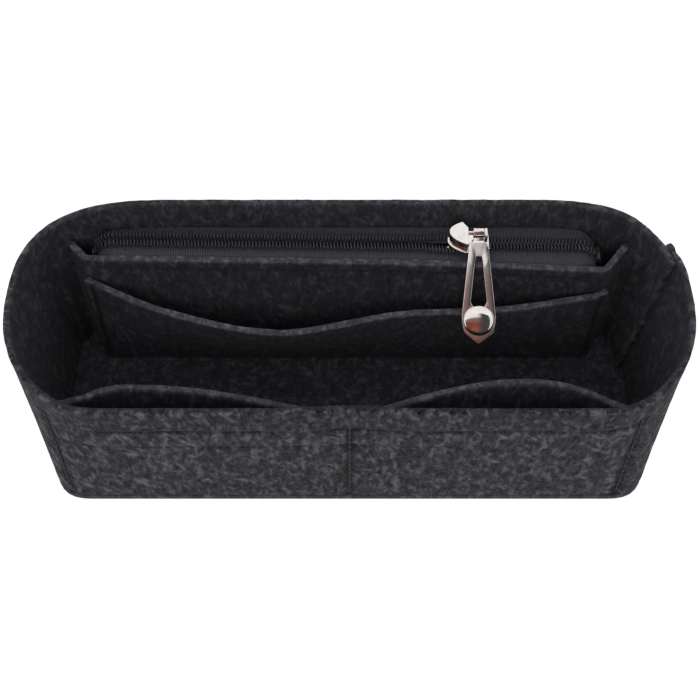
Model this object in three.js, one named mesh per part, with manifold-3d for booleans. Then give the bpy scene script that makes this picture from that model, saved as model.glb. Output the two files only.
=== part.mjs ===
// Felt purse organizer insert, in millimetres, +Z up.
// X runs along the length, +Y is the side with the zip pouch, and the origin is the middle of the foot.
import * as THREE from "three";
import { mergeVertices } from "three/addons/utils/BufferGeometryUtils.js";
import Module from "manifold-3d";

const wasm = await Module();
wasm.setup();

// Driving dimensions: the felt box
const FELT = 2.5;
const CLEARANCE = 0.3;
const HEIGHT = 75;
const RIM_LENGTH = 249;
const RIM_DEPTH = 93;
const RIM_BOW_FRONT = { length: 40, power: 2.25 }; // a power of 2 is an ellipse, and more is squarer
const RIM_BOW_BACK = { length: 57, power: 2.7 };
const FOOT_LENGTH = 231;
const FOOT_DEPTH = 86.5;
const FOOT_CORNER = 12;
const LAP_PLACE = 16; // from the middle of the right end to the inner end of the strip
const LAP = 10;
const LAP_EASE = 30; // length over which the inner layer comes back to the outline

// Driving dimensions: the pair of pockets inside the front wall
const POCKET_DROP = 13.5; // top edge below the rim
const LEFT_POCKET = { reach: 112, bulge: 11.8, peak: 0.72 }; // reach along the wall from its middle
const RIGHT_POCKET = { reach: 107, bulge: 13, peak: 0.58 };
const POCKET_EASE = 1.2; // how the bulge grows with height

// Driving dimensions: the zip pouch on the back wall and the slip pocket before it
const POUCH_DROP = 11.4; // top edge below the rim
const POUCH_LEFT_INSET = 23.5; // from the rim's end to the pouch's front corner
const POUCH_RIGHT_INSET = 27.5;
const POUCH_FOOT_DEPTH = 16.4; // from the back wall to the pouch's front face at the floor
const POUCH_BOW = [[0, 0.6], [0.3, 0.8], [0.6, 0.8], [0.8, 0], [1, -1.5]]; // top edge, towards the wall
const POUCH_BEND = 3;
const CORNER_ROOM = 0.48; // share of a side that a bend may take up
const FLANGE = 12;
const FLANGE_PLACE = 30; // along the wall from the middle of an end to the flange's edge
const SLIP_DROP_LEFT = 9.8; // slip pocket's cut edge below the pouch's top edge
const SLIP_DROP_RIGHT = 12.6;
const SLIP_END_GAP = 2; // from the pouch's corner to the slip pocket's edge
const SLIP_BULGE = [[0, 0], [0.15, 13], [0.37, 20.5], [0.6, 12.5], [0.8, 9], [1, 0]];
const SLIP_SEAM = 0.02; // share of the slip pocket's width outside each seam

// Driving dimensions: the zip
const ZIP_BACK_LEFT = 7.3; // chain's middle to the back wall, at the left corner of the pouch
const ZIP_BACK_RIGHT = 11;
const ZIP_BELOW_FELT = 1; // tape below the pouch's top edge
const TAPE = 0.6;
const TAPE_SHOWN = 5.5; // front tape between the coil and the felt
const TAPE_TURN = 9; // tape turned down against the felt
const CHAIN_WIDTH = 6;
const COIL_HEIGHT = 2.2;
const PITCH = 2;
const TOOTH = 0.7;
const TOOTH_REACH = 0.45; // past the chain's middle when closed
const TOOTH_DEPTH = 1.6;
const OPEN_SHIFT = 0.95; // each half of the chain from its closed place, where it is open
const SPREAD_SHIFT = 2.2; // the same at the slider's post
const SPREAD_LENGTH = 16;
const STOP_LENGTH = 2.4;
const STOP_CORNER = 0.4;

// Driving dimensions: the slider and its pull
const SLIDER_PLACE = 46; // rest place along the zip
const SLIDER_NOSE = 8.5; // from the slider's middle to its pointed mouth end
const SLIDER_TAIL = 7.25;
const SLIDER_SHOULDER = -2; // where the slider is widest
const SLIDER_WALL = 0.8;
const LOWER_INSET = 0.8; // lower plate narrower than the upper one, at each side
const SLIDER_BLUNT = 0.6; // share of the shoulder's width that the mouth end keeps
const METAL_EDGE = 0.3; // rounding of the metal's edges
const PLATE = 1;
const POST_WIDTH = 1.8;
const POST_LENGTH = 4;
const CHANNEL_GAP = 0.4; // above the coil and below the tape
const CROWN_ROD = 1.6; // diameter of the crown's rod
const CROWN_WIDTH = 8.4;
const CROWN_RISE = 1.6; // of the domed cap's top above the rod
const CROWN_CAP_END = -0.9; // tail end of the domed cap, from the slider's middle
const CROWN_SPLIT = 0.8; // where the part of the rod that carries the pull begins
const CROWN_LEG = 1.2;
const CROWN_LEG_WIDTH = 4;
const CROWN_FULLNESS = 0.7; // 1 is an ellipsoid, less is squarer
const PIVOT_HEIGHT = 3.7; // rod's axis above the upper plate
const PULL_LENGTH = 43; // from the rod's axis to the tip
const PULL_THICKNESS = 1.6;
const PULL_NECK = 7; // width at the rod
const PULL_WIDTH = 12.8; // width across the round end
const PULL_DISC_PLACE = 33.9; // from the rod's axis to the middle of the round end
const PULL_DOME = 1.5; // height of the round end's dome
const PULL_DOME_WIDTH = 11.6;
const PULL_WIDEST = 1.6; // from the round end's middle back to where the pull is widest
const PULL_POINT_WIDTH = 10.2; // where the straight sides of the point begin
const PULL_HOLE_START = 9.4; // from the rod's axis
const PULL_HOLE_END = 29.2;
const PULL_HOLE_NECK = 2.4; // width of the hole at its narrow end
const PULL_HOLE_WIDTH = 6;
const PULL_SLOPE = 25; // degrees below level at rest, leaning over the pouch's edge
const KNUCKLE = 4.2; // length of the pull's eye along the rod
const KNUCKLE_WALL = 1;

// Driving dimensions: the sewing thread
const THREAD = 0.9;
const SEAM_INSET = 4; // from a seam's end to the edge of the felt
const ZIP_SEAM_DROP = 5; // zip seams below the pouch's top edge

const felt = { color: 0x2f2f33, roughness: 0.95, metalness: 0 };
const tapeCloth = { color: 0x27272b, roughness: 0.8, metalness: 0 };
const nylon = { color: 0x2c2c31, roughness: 0.45, metalness: 0 };
const nickel = { color: 0xd6d4d0, roughness: 0.18, metalness: 1 };
const sewingThread = { color: 0x212124, roughness: 0.7, metalness: 0 };

const part = new THREE.Group();

function addMesh(parent, name, geometry, finish) {
  const mesh = new THREE.Mesh(geometry, new THREE.MeshStandardMaterial(finish));
  mesh.name = name;
  parent.add(mesh);
  return mesh;
}

function spread(from, to, steps) {
  return Array.from({ length: steps + 1 }, (_, i) => from + ((to - from) * i) / steps);
}

function easeBell(t) {
  const inside = THREE.MathUtils.clamp(t, 0, 1);
  return 0.5 + 0.5 * Math.cos(Math.PI * inside);
}

// Solids
function toManifold(geometry) {
  const bare = geometry.clone();
  bare.deleteAttribute("normal");
  bare.deleteAttribute("uv");
  const merged = mergeVertices(bare, 1e-4);
  const mesh = new wasm.Mesh({
    numProp: 3,
    vertProperties: new Float32Array(merged.attributes.position.array),
    triVerts: new Uint32Array(merged.index.array),
  });
  return new wasm.Manifold(mesh);
}

function joined(geometries) {
  const whole = geometries.map(toManifold).reduce((sum, next) => sum.add(next));
  const { vertProperties, triVerts } = whole.getMesh();
  const geometry = new THREE.BufferGeometry();
  geometry.setAttribute("position", new THREE.BufferAttribute(new Float32Array(vertProperties), 3));
  geometry.setIndex(new THREE.BufferAttribute(new Uint32Array(triVerts), 1));
  geometry.computeVertexNormals();
  return geometry;
}

function extruded(outline, depth, holes = []) {
  const shape = new THREE.Shape(outline);
  shape.holes = holes.map((points) => new THREE.Path(points));
  return new THREE.ExtrudeGeometry(shape, { depth, bevelEnabled: false });
}

// A sheet of even thickness from rows of points on its middle surface.
// An upright sheet is thickened level, so its top and bottom edges are flat.
function sheet(rows, thickness, upright) {
  const high = rows.length;
  const wide = rows[0].length;
  const up = new THREE.Vector3(0, 0, 1);
  const normals = rows.map((row, j) => row.map((_, i) => {
    const along = row[Math.min(i + 1, wide - 1)].clone().sub(row[Math.max(i - 1, 0)]);
    const across = rows[Math.min(j + 1, high - 1)][i].clone().sub(rows[Math.max(j - 1, 0)][i]);
    const facing = upright ? along.setZ(0).normalize().cross(up) : along.cross(across);
    return facing.normalize();
  }));
  const positions = [];
  for (const side of [0.5, -0.5]) {
    rows.forEach((row, j) => row.forEach((point, i) => {
      positions.push(...point.clone().addScaledVector(normals[j][i], side * thickness).toArray());
    }));
  }
  const back = high * wide;
  const at = (j, i) => j * wide + i;
  const index = [];
  const quad = (a, b, c, d) => index.push(a, b, c, a, c, d);
  for (let j = 0; j < high - 1; j += 1) {
    for (let i = 0; i < wide - 1; i += 1) {
      const face = [at(j, i), at(j, i + 1), at(j + 1, i + 1), at(j + 1, i)];
      quad(...face);
      quad(...face.map((corner) => corner + back).reverse());
    }
  }
  const rim = [
    ...spread(0, wide - 2, wide - 2).map((i) => [at(0, i), at(0, i + 1)]),
    ...spread(0, high - 2, high - 2).map((j) => [at(j, wide - 1), at(j + 1, wide - 1)]),
    ...spread(0, wide - 2, wide - 2).map((i) => [at(high - 1, i + 1), at(high - 1, i)]),
    ...spread(0, high - 2, high - 2).map((j) => [at(j + 1, 0), at(j, 0)]),
  ];
  rim.forEach(([from, to]) => quad(from, from + back, to + back, to));
  const geometry = new THREE.BufferGeometry();
  geometry.setAttribute("position", new THREE.Float32BufferAttribute(positions, 3));
  geometry.setIndex(index);
  geometry.computeVertexNormals();
  return geometry;
}

function threadAlong(points, steps) {
  const sides = 6;
  const ring = spread(0, sides - 1, sides - 1).map((i) => {
    const angle = (2 * Math.PI * i) / sides;
    return new THREE.Vector2(Math.cos(angle), Math.sin(angle)).multiplyScalar(THREAD / 2);
  });
  const extrudePath = new THREE.CatmullRomCurve3(points);
  return new THREE.ExtrudeGeometry(new THREE.Shape(ring), { steps, extrudePath, bevelEnabled: false });
}

// Outline of the box: a quarter of the foot and of the rim, from the middle of an end to the middle of a side
class RimBow extends THREE.Curve {
  constructor({ length, power }) {
    super();
    this.length = length;
    this.power = 2 / power;
    this.arcLengthDivisions = 2000;
  }

  getPoint(t) {
    const angle = (Math.PI / 2) * t;
    const x = RIM_LENGTH / 2 - this.length + this.length * Math.cos(angle) ** this.power;
    return new THREE.Vector2(x, (RIM_DEPTH / 2) * Math.sin(angle) ** this.power);
  }
}

function quarterOf(curves) {
  const path = new THREE.CurvePath();
  curves.forEach((curve) => path.add(curve));
  return path;
}

function rimQuarter(bow) {
  const straight = new THREE.Vector2(RIM_LENGTH / 2 - bow.length, RIM_DEPTH / 2);
  return quarterOf([new RimBow(bow), new THREE.LineCurve(straight, new THREE.Vector2(0, RIM_DEPTH / 2))]);
}

const rim = { front: rimQuarter(RIM_BOW_FRONT), back: rimQuarter(RIM_BOW_BACK) };
const cornerX = FOOT_LENGTH / 2 - FOOT_CORNER;
const cornerY = FOOT_DEPTH / 2 - FOOT_CORNER;
const footCornerArc = new THREE.EllipseCurve(cornerX, cornerY, FOOT_CORNER, FOOT_CORNER, 0, Math.PI / 2);
const footQuarter = quarterOf([
  new THREE.LineCurve(new THREE.Vector2(FOOT_LENGTH / 2, 0), new THREE.Vector2(FOOT_LENGTH / 2, cornerY)),
  footCornerArc,
  new THREE.LineCurve(new THREE.Vector2(cornerX, FOOT_DEPTH / 2), new THREE.Vector2(0, FOOT_DEPTH / 2)),
]);
const foot = { front: footQuarter, back: footQuarter };
const rimQuarterLength = rim.back.getLength();
const footQuarterLength = footQuarter.getLength();

// A place round the outline counts quarters from the middle of the right end: 1 is the middle of the back
function outlineAt(outline, place) {
  const turn = ((place % 4) + 4) % 4;
  const leg = Math.floor(turn);
  const share = turn - leg;
  const quarter = leg < 2 ? outline.back : outline.front;
  const point = quarter.getPoint(leg % 2 === 0 ? share : 1 - share);
  const sideX = leg === 0 || leg === 3 ? 1 : -1;
  const sideY = leg < 2 ? 1 : -1;
  return new THREE.Vector2(point.x * sideX, point.y * sideY);
}

function placeOf(length) {
  return length / rimQuarterLength;
}

const floorTop = FELT;
const wallFoot = floorTop + CLEARANCE;
const lapStart = placeOf(LAP_PLACE);
const lapEnd = placeOf(LAP_PLACE + LAP);

// How far the wall's inner layer steps in, so that the strip's two ends lap at the right rear
function lapShift(place) {
  if (place >= 2) {
    return 0;
  }
  return (FELT + CLEARANCE) * easeBell((place - lapEnd - placeOf(CLEARANCE)) / placeOf(LAP_EASE));
}

// A point set in from the wall's outer face, at a place round the outline and a height
function wallPoint(place, z, inset) {
  const share = z / HEIGHT;
  const step = 0.002;
  const plan = (at) => outlineAt(foot, at).lerp(outlineAt(rim, at), share);
  const along = plan(place + step).sub(plan(place - step)).normalize();
  const inward = new THREE.Vector2(-along.y, along.x);
  const point = plan(place).addScaledVector(inward, inset + lapShift(place));
  return new THREE.Vector3(point.x, point.y, z);
}

// Y of the back wall's inner face where it has a given X
function backFace(x, z) {
  let near = 0.1;
  let far = 1.9;
  for (let i = 0; i < 40; i += 1) {
    const middle = (near + far) / 2;
    if (wallPoint(middle, z, FELT).x > x) {
      near = middle;
    } else {
      far = middle;
    }
  }
  return wallPoint((near + far) / 2, z, FELT).y;
}

// Felt floor
function floorPanel() {
  const outline = [];
  for (let leg = 0; leg < 4; leg += 1) {
    const turn = (leg * Math.PI) / 2;
    const sideX = leg === 0 || leg === 3 ? 1 : -1;
    const sideY = leg < 2 ? 1 : -1;
    spread(turn, turn + Math.PI / 2, 8).forEach((angle) => {
      const x = sideX * cornerX + FOOT_CORNER * Math.cos(angle);
      const y = sideY * cornerY + FOOT_CORNER * Math.sin(angle);
      outline.push(new THREE.Vector2(x, y));
    });
  }
  return extruded(outline, FELT);
}

// Felt wall: one strip round the floor, its ends lapped at the right rear
function wallStations(from, to) {
  const cornerStart = cornerY / footQuarterLength;
  const cornerEnd = cornerStart + footCornerArc.getLength() / footQuarterLength;
  const bowEnd = Math.max(rim.back.curves[0].getLength() / rimQuarterLength, cornerEnd + 0.05);
  const shares = [
    ...spread(0, cornerStart, 4),
    ...spread(cornerStart, cornerEnd, 7).slice(1),
    ...spread(cornerEnd, bowEnd, 6).slice(1),
    ...spread(bowEnd, 1, 4).slice(1),
  ];
  const places = [from, lapStart, lapEnd, 4 + lapStart, to];
  for (let leg = 0; leg < 5; leg += 1) {
    shares.forEach((share) => places.push(leg % 2 === 0 ? leg + share : leg + 1 - share));
  }
  const inside = places.filter((place) => place >= from && place <= to).sort((a, b) => a - b);
  return inside.filter((place, i) => i === 0 || place - inside[i - 1] > 0.004);
}

function wallBand() {
  const stations = wallStations(lapStart, 4 + lapEnd);
  const rows = spread(wallFoot, HEIGHT, 3).map((z) => stations.map((place) => {
    return wallPoint(place, z, FELT / 2);
  }));
  return sheet(rows, FELT, true);
}

// Felt panel sewn inside the front wall at its ends and its middle, which makes two pockets
const pocketTop = HEIGHT - POCKET_DROP;

function pocketBulge(share, rise) {
  const { bulge, peak } = share < 0 ? LEFT_POCKET : RIGHT_POCKET;
  const reach = Math.abs(share);
  const quarterTurn = Math.PI / 2;
  const lobe = reach < peak
    ? Math.sin((quarterTurn * reach) / peak)
    : Math.cos((quarterTurn * (reach - peak)) / (1 - peak));
  return bulge * lobe * rise ** POCKET_EASE;
}

function frontPocketPoint(share, z, depth) {
  const rise = (z - wallFoot) / (pocketTop - wallFoot);
  const inset = FELT + CLEARANCE + depth + pocketBulge(share, rise);
  const { reach } = share < 0 ? LEFT_POCKET : RIGHT_POCKET;
  return wallPoint(3 + share * placeOf(reach), z, inset);
}

function frontPocketPanel() {
  const rows = spread(wallFoot, pocketTop, 5).map((z) => spread(-1, 1, 44).map((share) => {
    return frontPocketPoint(share, z, FELT / 2);
  }));
  return sheet(rows, FELT, true);
}

// Zip frame: its middle stands off the back wall, and further at the right end than at the left
const pouchTop = HEIGHT - POUCH_DROP;
const zipZ = pouchTop - ZIP_BELOW_FELT;
const pouchLeft = -RIM_LENGTH / 2 + POUCH_LEFT_INSET;
const pouchRight = RIM_LENGTH / 2 - POUCH_RIGHT_INSET;
const chainLeftY = backFace(0, zipZ) - ZIP_BACK_LEFT;
const chainRightY = backFace(0, zipZ) - ZIP_BACK_RIGHT;
const zipSlant = Math.atan2(chainRightY - chainLeftY, pouchRight - pouchLeft);
const zip = new THREE.Group();
zip.position.set(0, chainLeftY - pouchLeft * Math.tan(zipSlant), zipZ);
zip.rotation.z = zipSlant;
part.add(zip);

function chainY(x) {
  return zip.position.y + x * Math.tan(zipSlant);
}

// Felt pouch front: sewn to the back wall by a flange at each end
const feltStandOff = CHAIN_WIDTH / 2 + TAPE_SHOWN + FELT / 2;

const pouchBow = new THREE.SplineCurve(POUCH_BOW.map(([share, bow]) => new THREE.Vector2(share, bow)));

function pouchBowAt(x) {
  const share = THREE.MathUtils.clamp((x - pouchLeft) / (pouchRight - pouchLeft), 0, 1);
  let low = 0;
  let high = 1;
  for (let i = 0; i < 30; i += 1) {
    const middle = (low + high) / 2;
    if (pouchBow.getPoint(middle).x < share) {
      low = middle;
    } else {
      high = middle;
    }
  }
  return pouchBow.getPoint(low).y;
}

function pouchFrontY(x, z) {
  const top = chainY(x) - feltStandOff + pouchBowAt(x);
  const foot = FOOT_DEPTH / 2 - FELT - POUCH_FOOT_DEPTH + FELT / 2;
  return THREE.MathUtils.lerp(foot, top, (z - wallFoot) / (pouchTop - wallFoot));
}

// A line through the points that turns in an arc at each of the named corners
function rounded(points, corners, radius, steps) {
  return points.flatMap((point, i) => {
    if (!corners.includes(i)) {
      return [point];
    }
    const before = point.clone().sub(points[i - 1]);
    const after = points[i + 1].clone().sub(point);
    const room = CORNER_ROOM * Math.min(before.length(), after.length());
    before.normalize();
    after.normalize();
    const turn = before.angleTo(after);
    const reach = Math.min(radius * Math.tan(turn / 2), room);
    const bend = reach / Math.tan(turn / 2);
    const inside = after.clone().addScaledVector(before, -before.dot(after)).normalize();
    const from = point.clone().addScaledVector(before, -reach);
    return spread(0, turn, steps).map((angle) => {
      const along = from.clone().addScaledVector(before, bend * Math.sin(angle));
      return along.addScaledVector(inside, bend * (1 - Math.cos(angle)));
    });
  });
}

function flangePoints(side, z) {
  return spread(FLANGE_PLACE, FLANGE_PLACE + FLANGE, 3).map((length) => {
    const place = side < 0 ? 2 - placeOf(length) : placeOf(length);
    return wallPoint(place, z, FELT + CLEARANCE + FELT / 2);
  });
}

function pouchRow(z) {
  const left = flangePoints(-1, z);
  const front = spread(pouchLeft, pouchRight, 10).map((x) => new THREE.Vector3(x, pouchFrontY(x, z), z));
  const right = flangePoints(1, z).reverse();
  const leftCorner = left.length;
  const rightCorner = left.length + front.length - 1;
  const corners = [leftCorner - 1, leftCorner, rightCorner, rightCorner + 1];
  return rounded([...left, ...front, ...right], corners, POUCH_BEND, 4);
}

function pouchFrontPanel() {
  return sheet(spread(wallFoot, pouchTop, 3).map(pouchRow), FELT, true);
}

// Felt slip pocket: sewn to the pouch's front at both ends, its open top edge bulging forward
const slipBulge = new THREE.SplineCurve(SLIP_BULGE.map(([share, bulge]) => new THREE.Vector2(share, bulge)));
const slipLeft = pouchLeft + SLIP_END_GAP;
const slipRight = pouchRight - SLIP_END_GAP;

function slipCutHeight(share) {
  return pouchTop - wallFoot - THREE.MathUtils.lerp(SLIP_DROP_LEFT, SLIP_DROP_RIGHT, share);
}

function slipPoint(t, rise, depth) {
  const { x: share, y: bulge } = slipBulge.getPoint(t);
  const x = THREE.MathUtils.lerp(slipLeft, slipRight, share);
  const z = wallFoot + rise * Math.sqrt(slipCutHeight(share) ** 2 - bulge ** 2);
  const y = pouchFrontY(x, z) - FELT / 2 - CLEARANCE - depth - rise * bulge;
  return new THREE.Vector3(x, y, z);
}

function slipPocketPanel() {
  const rows = spread(0, 1, 4).map((rise) => spread(0, 1, 30).map((t) => slipPoint(t, rise, FELT / 2)));
  return sheet(rows, FELT, true);
}

// Zip tapes: level beside the coil, then turned down against the felt that each is sewn to
const tapeEdge = POST_WIDTH / 2 + CLEARANCE;
const tapeLeft = pouchLeft + FELT + POUCH_BEND;
const tapeRight = pouchRight - FELT - POUCH_BEND;

function zipWorld(x, y) {
  return new THREE.Vector3(x, y, 0).applyAxisAngle(new THREE.Vector3(0, 0, 1), zipSlant).add(zip.position);
}

function tapeSheet(feltY, side) {
  const turnIn = CLEARANCE + TAPE / 2;
  const bend = 2 * TAPE;
  const cutIn = (1 - Math.SQRT1_2) * bend;
  const columns = spread(tapeLeft, tapeRight, 24).map((x) => {
    const edge = zipWorld(x, side * tapeEdge);
    const against = (z) => new THREE.Vector3(edge.x, feltY(edge.x, z) - side * turnIn, z);
    const fold = against(zipZ - bend);
    const level = new THREE.Vector3(edge.x, fold.y - side * bend, zipZ);
    const shoulder = new THREE.Vector3(edge.x, fold.y - side * cutIn, zipZ - cutIn);
    return [edge, edge.clone().lerp(level, 0.5), level, shoulder, fold, against(zipZ - TAPE_TURN)];
  });
  const rows = columns[0].map((_, j) => columns.map((column) => column[j]));
  return sheet(side > 0 ? rows : rows.reverse(), TAPE, false);
}

function rearTape() {
  return tapeSheet(backFace, 1);
}

function frontTape() {
  return tapeSheet((x, z) => pouchFrontY(x, z) + FELT / 2, -1);
}

// Zip chain: two toothed halves, closed to the right of the slider and open to its left
const coilBottom = TAPE / 2 + CLEARANCE;
const coilTop = coilBottom + COIL_HEIGHT;
const chainStart = tapeLeft + STOP_LENGTH + 2 * CLEARANCE;
const chainEnd = tapeRight - STOP_LENGTH - 2 * CLEARANCE;
const postPlace = SLIDER_PLACE - SLIDER_NOSE + POST_LENGTH / 2 + PLATE;

function chainShift(x) {
  if (x < postPlace) {
    return OPEN_SHIFT + (SPREAD_SHIFT - OPEN_SHIFT) * easeBell((postPlace - x) / SPREAD_LENGTH);
  }
  return SPREAD_SHIFT * easeBell((x - postPlace) / (SLIDER_TAIL + SLIDER_PLACE - postPlace));
}

function chainHalf(side) {
  const phase = side > 0 ? 0 : PITCH / 2;
  const teeth = Math.floor((chainEnd - chainStart - PITCH) / PITCH);
  const tip = (x) => new THREE.Vector2(x, side * (chainShift(x) - TOOTH_REACH));
  const root = (x) => new THREE.Vector2(x, side * (chainShift(x) - TOOTH_REACH + TOOTH_DEPTH));
  const spine = (x) => new THREE.Vector2(x, side * (chainShift(x) + CHAIN_WIDTH / 2));
  const outline = [root(chainStart)];
  for (let i = 0; i < teeth; i += 1) {
    const middle = chainStart + phase + PITCH * (i + 0.5);
    const [left, right] = [middle - TOOTH / 2, middle + TOOTH / 2];
    outline.push(root(left), tip(left), tip(right), root(right));
  }
  outline.push(root(chainEnd));
  spread(chainEnd, chainStart, 40).forEach((x) => outline.push(spine(x)));
  return extruded(side > 0 ? outline.reverse() : outline, COIL_HEIGHT).translate(0, 0, coilBottom);
}

function stopBlock(low, high) {
  const corner = STOP_CORNER;
  const shape = new THREE.Shape();
  shape.moveTo(corner, low);
  shape.lineTo(STOP_LENGTH - corner, low);
  shape.quadraticCurveTo(STOP_LENGTH, low, STOP_LENGTH, low + corner);
  shape.lineTo(STOP_LENGTH, high - corner);
  shape.quadraticCurveTo(STOP_LENGTH, high, STOP_LENGTH - corner, high);
  shape.lineTo(corner, high);
  shape.quadraticCurveTo(0, high, 0, high - corner);
  shape.lineTo(0, low + corner);
  shape.quadraticCurveTo(0, low, corner, low);
  const solid = { depth: COIL_HEIGHT, bevelEnabled: false, curveSegments: 3 };
  return new THREE.ExtrudeGeometry(shape, solid).translate(0, 0, coilBottom);
}

// Slider: two plates held by a post, with a wall down each side of the chain
const plateBottom = coilTop + CHANNEL_GAP;
const plateTop = plateBottom + PLATE;
const lowerTop = -TAPE / 2 - CHANNEL_GAP;
const tailHalf = CHAIN_WIDTH / 2 + CLEARANCE + SLIDER_WALL;
const shoulderHalf = CHAIN_WIDTH / 2 + SPREAD_SHIFT + CLEARANCE + SLIDER_WALL;

function sliderHalfWidth(x) {
  const back = THREE.MathUtils.clamp((x - SLIDER_SHOULDER) / (SLIDER_TAIL - SLIDER_SHOULDER), 0, 1);
  return THREE.MathUtils.lerp(tailHalf, shoulderHalf, easeBell(back));
}

function plateOutline(inset) {
  const xs = spread(SLIDER_TAIL, SLIDER_SHOULDER, 6);
  const side = xs.map((x) => new THREE.Vector2(x, sliderHalfWidth(x) - inset));
  const nose = new THREE.QuadraticBezierCurve(
    new THREE.Vector2(SLIDER_SHOULDER, shoulderHalf - inset),
    new THREE.Vector2(-SLIDER_NOSE, SLIDER_BLUNT * (shoulderHalf - inset)),
    new THREE.Vector2(-SLIDER_NOSE, 0),
  );
  const half = [...side, ...nose.getPoints(7).slice(1)];
  const mirrored = half.slice(0, -1).reverse().map((point) => new THREE.Vector2(point.x, -point.y));
  return [...half, ...mirrored];
}

function sliderWall(side) {
  const xs = spread(SLIDER_TAIL - SLIDER_WALL, SLIDER_SHOULDER, 5);
  const outer = xs.map((x) => new THREE.Vector2(x, side * sliderHalfWidth(x)));
  const inner = xs.map((x) => new THREE.Vector2(x, side * (sliderHalfWidth(x) - SLIDER_WALL)));
  const outline = [...outer, ...inner.reverse()];
  const low = TAPE / 2 + CHANNEL_GAP;
  return extruded(side > 0 ? outline : outline.reverse(), plateBottom + PLATE / 2 - low).translate(0, 0, low);
}

function sliderPost() {
  const left = -SLIDER_NOSE + PLATE;
  const outline = [
    new THREE.Vector2(left, 0.3 * POST_WIDTH),
    new THREE.Vector2(left, -0.3 * POST_WIDTH),
    new THREE.Vector2(left + POST_LENGTH / 2, -POST_WIDTH / 2),
    new THREE.Vector2(left + POST_LENGTH, 0),
    new THREE.Vector2(left + POST_LENGTH / 2, POST_WIDTH / 2),
  ];
  const low = lowerTop - PLATE / 2;
  return extruded(outline, plateBottom + PLATE / 2 - low).translate(0, 0, low);
}

function sliderPlate(inset, bottom) {
  const edge = METAL_EDGE;
  const plate = new THREE.ExtrudeGeometry(new THREE.Shape(plateOutline(inset)), {
    depth: PLATE - 2 * edge,
    bevelSize: edge,
    bevelOffset: -edge,
    bevelThickness: edge,
    bevelSegments: 2,
  });
  return plate.translate(0, 0, bottom + edge);
}

function sliderBody() {
  const upper = sliderPlate(0, plateBottom);
  const lower = sliderPlate(LOWER_INSET, lowerTop - PLATE);
  return joined([upper, lower, sliderPost(), sliderWall(1), sliderWall(-1)]);
}

// Crown: a domed cap at the mouth end, then a rod for the pull, held by a leg at the tail
const crownFoot = plateTop + CLEARANCE / 6;
const pivotZ = plateTop + PIVOT_HEIGHT;
const legRight = SLIDER_TAIL - SLIDER_WALL;

function crown() {
  const capHigh = pivotZ + CROWN_ROD / 2 + CROWN_RISE - crownFoot;
  const capLeft = -SLIDER_NOSE + PLATE / 2;
  const profile = spread(0, Math.PI / 2, 7).map((angle) => {
    return new THREE.Vector2(Math.cos(angle) ** CROWN_FULLNESS, Math.sin(angle) ** CROWN_FULLNESS);
  });
  profile[profile.length - 1].x = 0;
  const cap = new THREE.LatheGeometry([new THREE.Vector2(0, 0), ...profile], 28);
  cap.rotateX(Math.PI / 2).scale((CROWN_CAP_END - capLeft) / 2, CROWN_WIDTH / 2, capHigh);
  cap.translate((CROWN_CAP_END + capLeft) / 2, 0, crownFoot);
  const rodLeft = (CROWN_CAP_END + capLeft) / 2;
  const rodLength = legRight - CROWN_LEG / 2 - rodLeft;
  const rod = new THREE.CylinderGeometry(CROWN_ROD / 2, CROWN_ROD / 2, rodLength, 14);
  rod.rotateZ(Math.PI / 2).translate(rodLeft + rodLength / 2, 0, pivotZ);
  const legHigh = pivotZ + CROWN_ROD / 2 + CROWN_RISE / 4 - crownFoot;
  const leg = new THREE.BoxGeometry(CROWN_LEG, CROWN_LEG_WIDTH, legHigh);
  leg.translate(legRight - CROWN_LEG / 2, 0, crownFoot + legHigh / 2);
  return joined([cap, rod, leg]);
}

// Pull: a rolled eye on the rod, two ribs round a drop-shaped hole, a domed round end and a point
const pullMiddle = (CROWN_SPLIT + legRight - CROWN_LEG) / 2;

function pullOutline() {
  const wide = PULL_WIDTH / 2;
  const point = PULL_POINT_WIDTH / 2;
  const widest = -PULL_DISC_PLACE + PULL_WIDEST;
  const pointStart = -PULL_DISC_PLACE - point;
  const shape = new THREE.Shape();
  shape.moveTo(-PULL_NECK / 2, -PULL_NECK / 2);
  shape.lineTo(PULL_NECK / 2, -PULL_NECK / 2);
  shape.lineTo(wide, widest);
  shape.quadraticCurveTo(wide, (widest + pointStart) / 2, point, pointStart);
  shape.lineTo(0, -PULL_LENGTH);
  shape.lineTo(-point, pointStart);
  shape.quadraticCurveTo(-wide, (widest + pointStart) / 2, -wide, widest);
  const half = PULL_HOLE_WIDTH / 2;
  const hole = new THREE.Path();
  hole.moveTo(PULL_HOLE_NECK / 2, -PULL_HOLE_START);
  hole.lineTo(-PULL_HOLE_NECK / 2, -PULL_HOLE_START);
  hole.lineTo(-half, -PULL_HOLE_END + half);
  hole.quadraticCurveTo(-half, -PULL_HOLE_END, 0, -PULL_HOLE_END);
  hole.quadraticCurveTo(half, -PULL_HOLE_END, half, -PULL_HOLE_END + half);
  shape.holes.push(hole);
  return shape;
}

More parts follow.
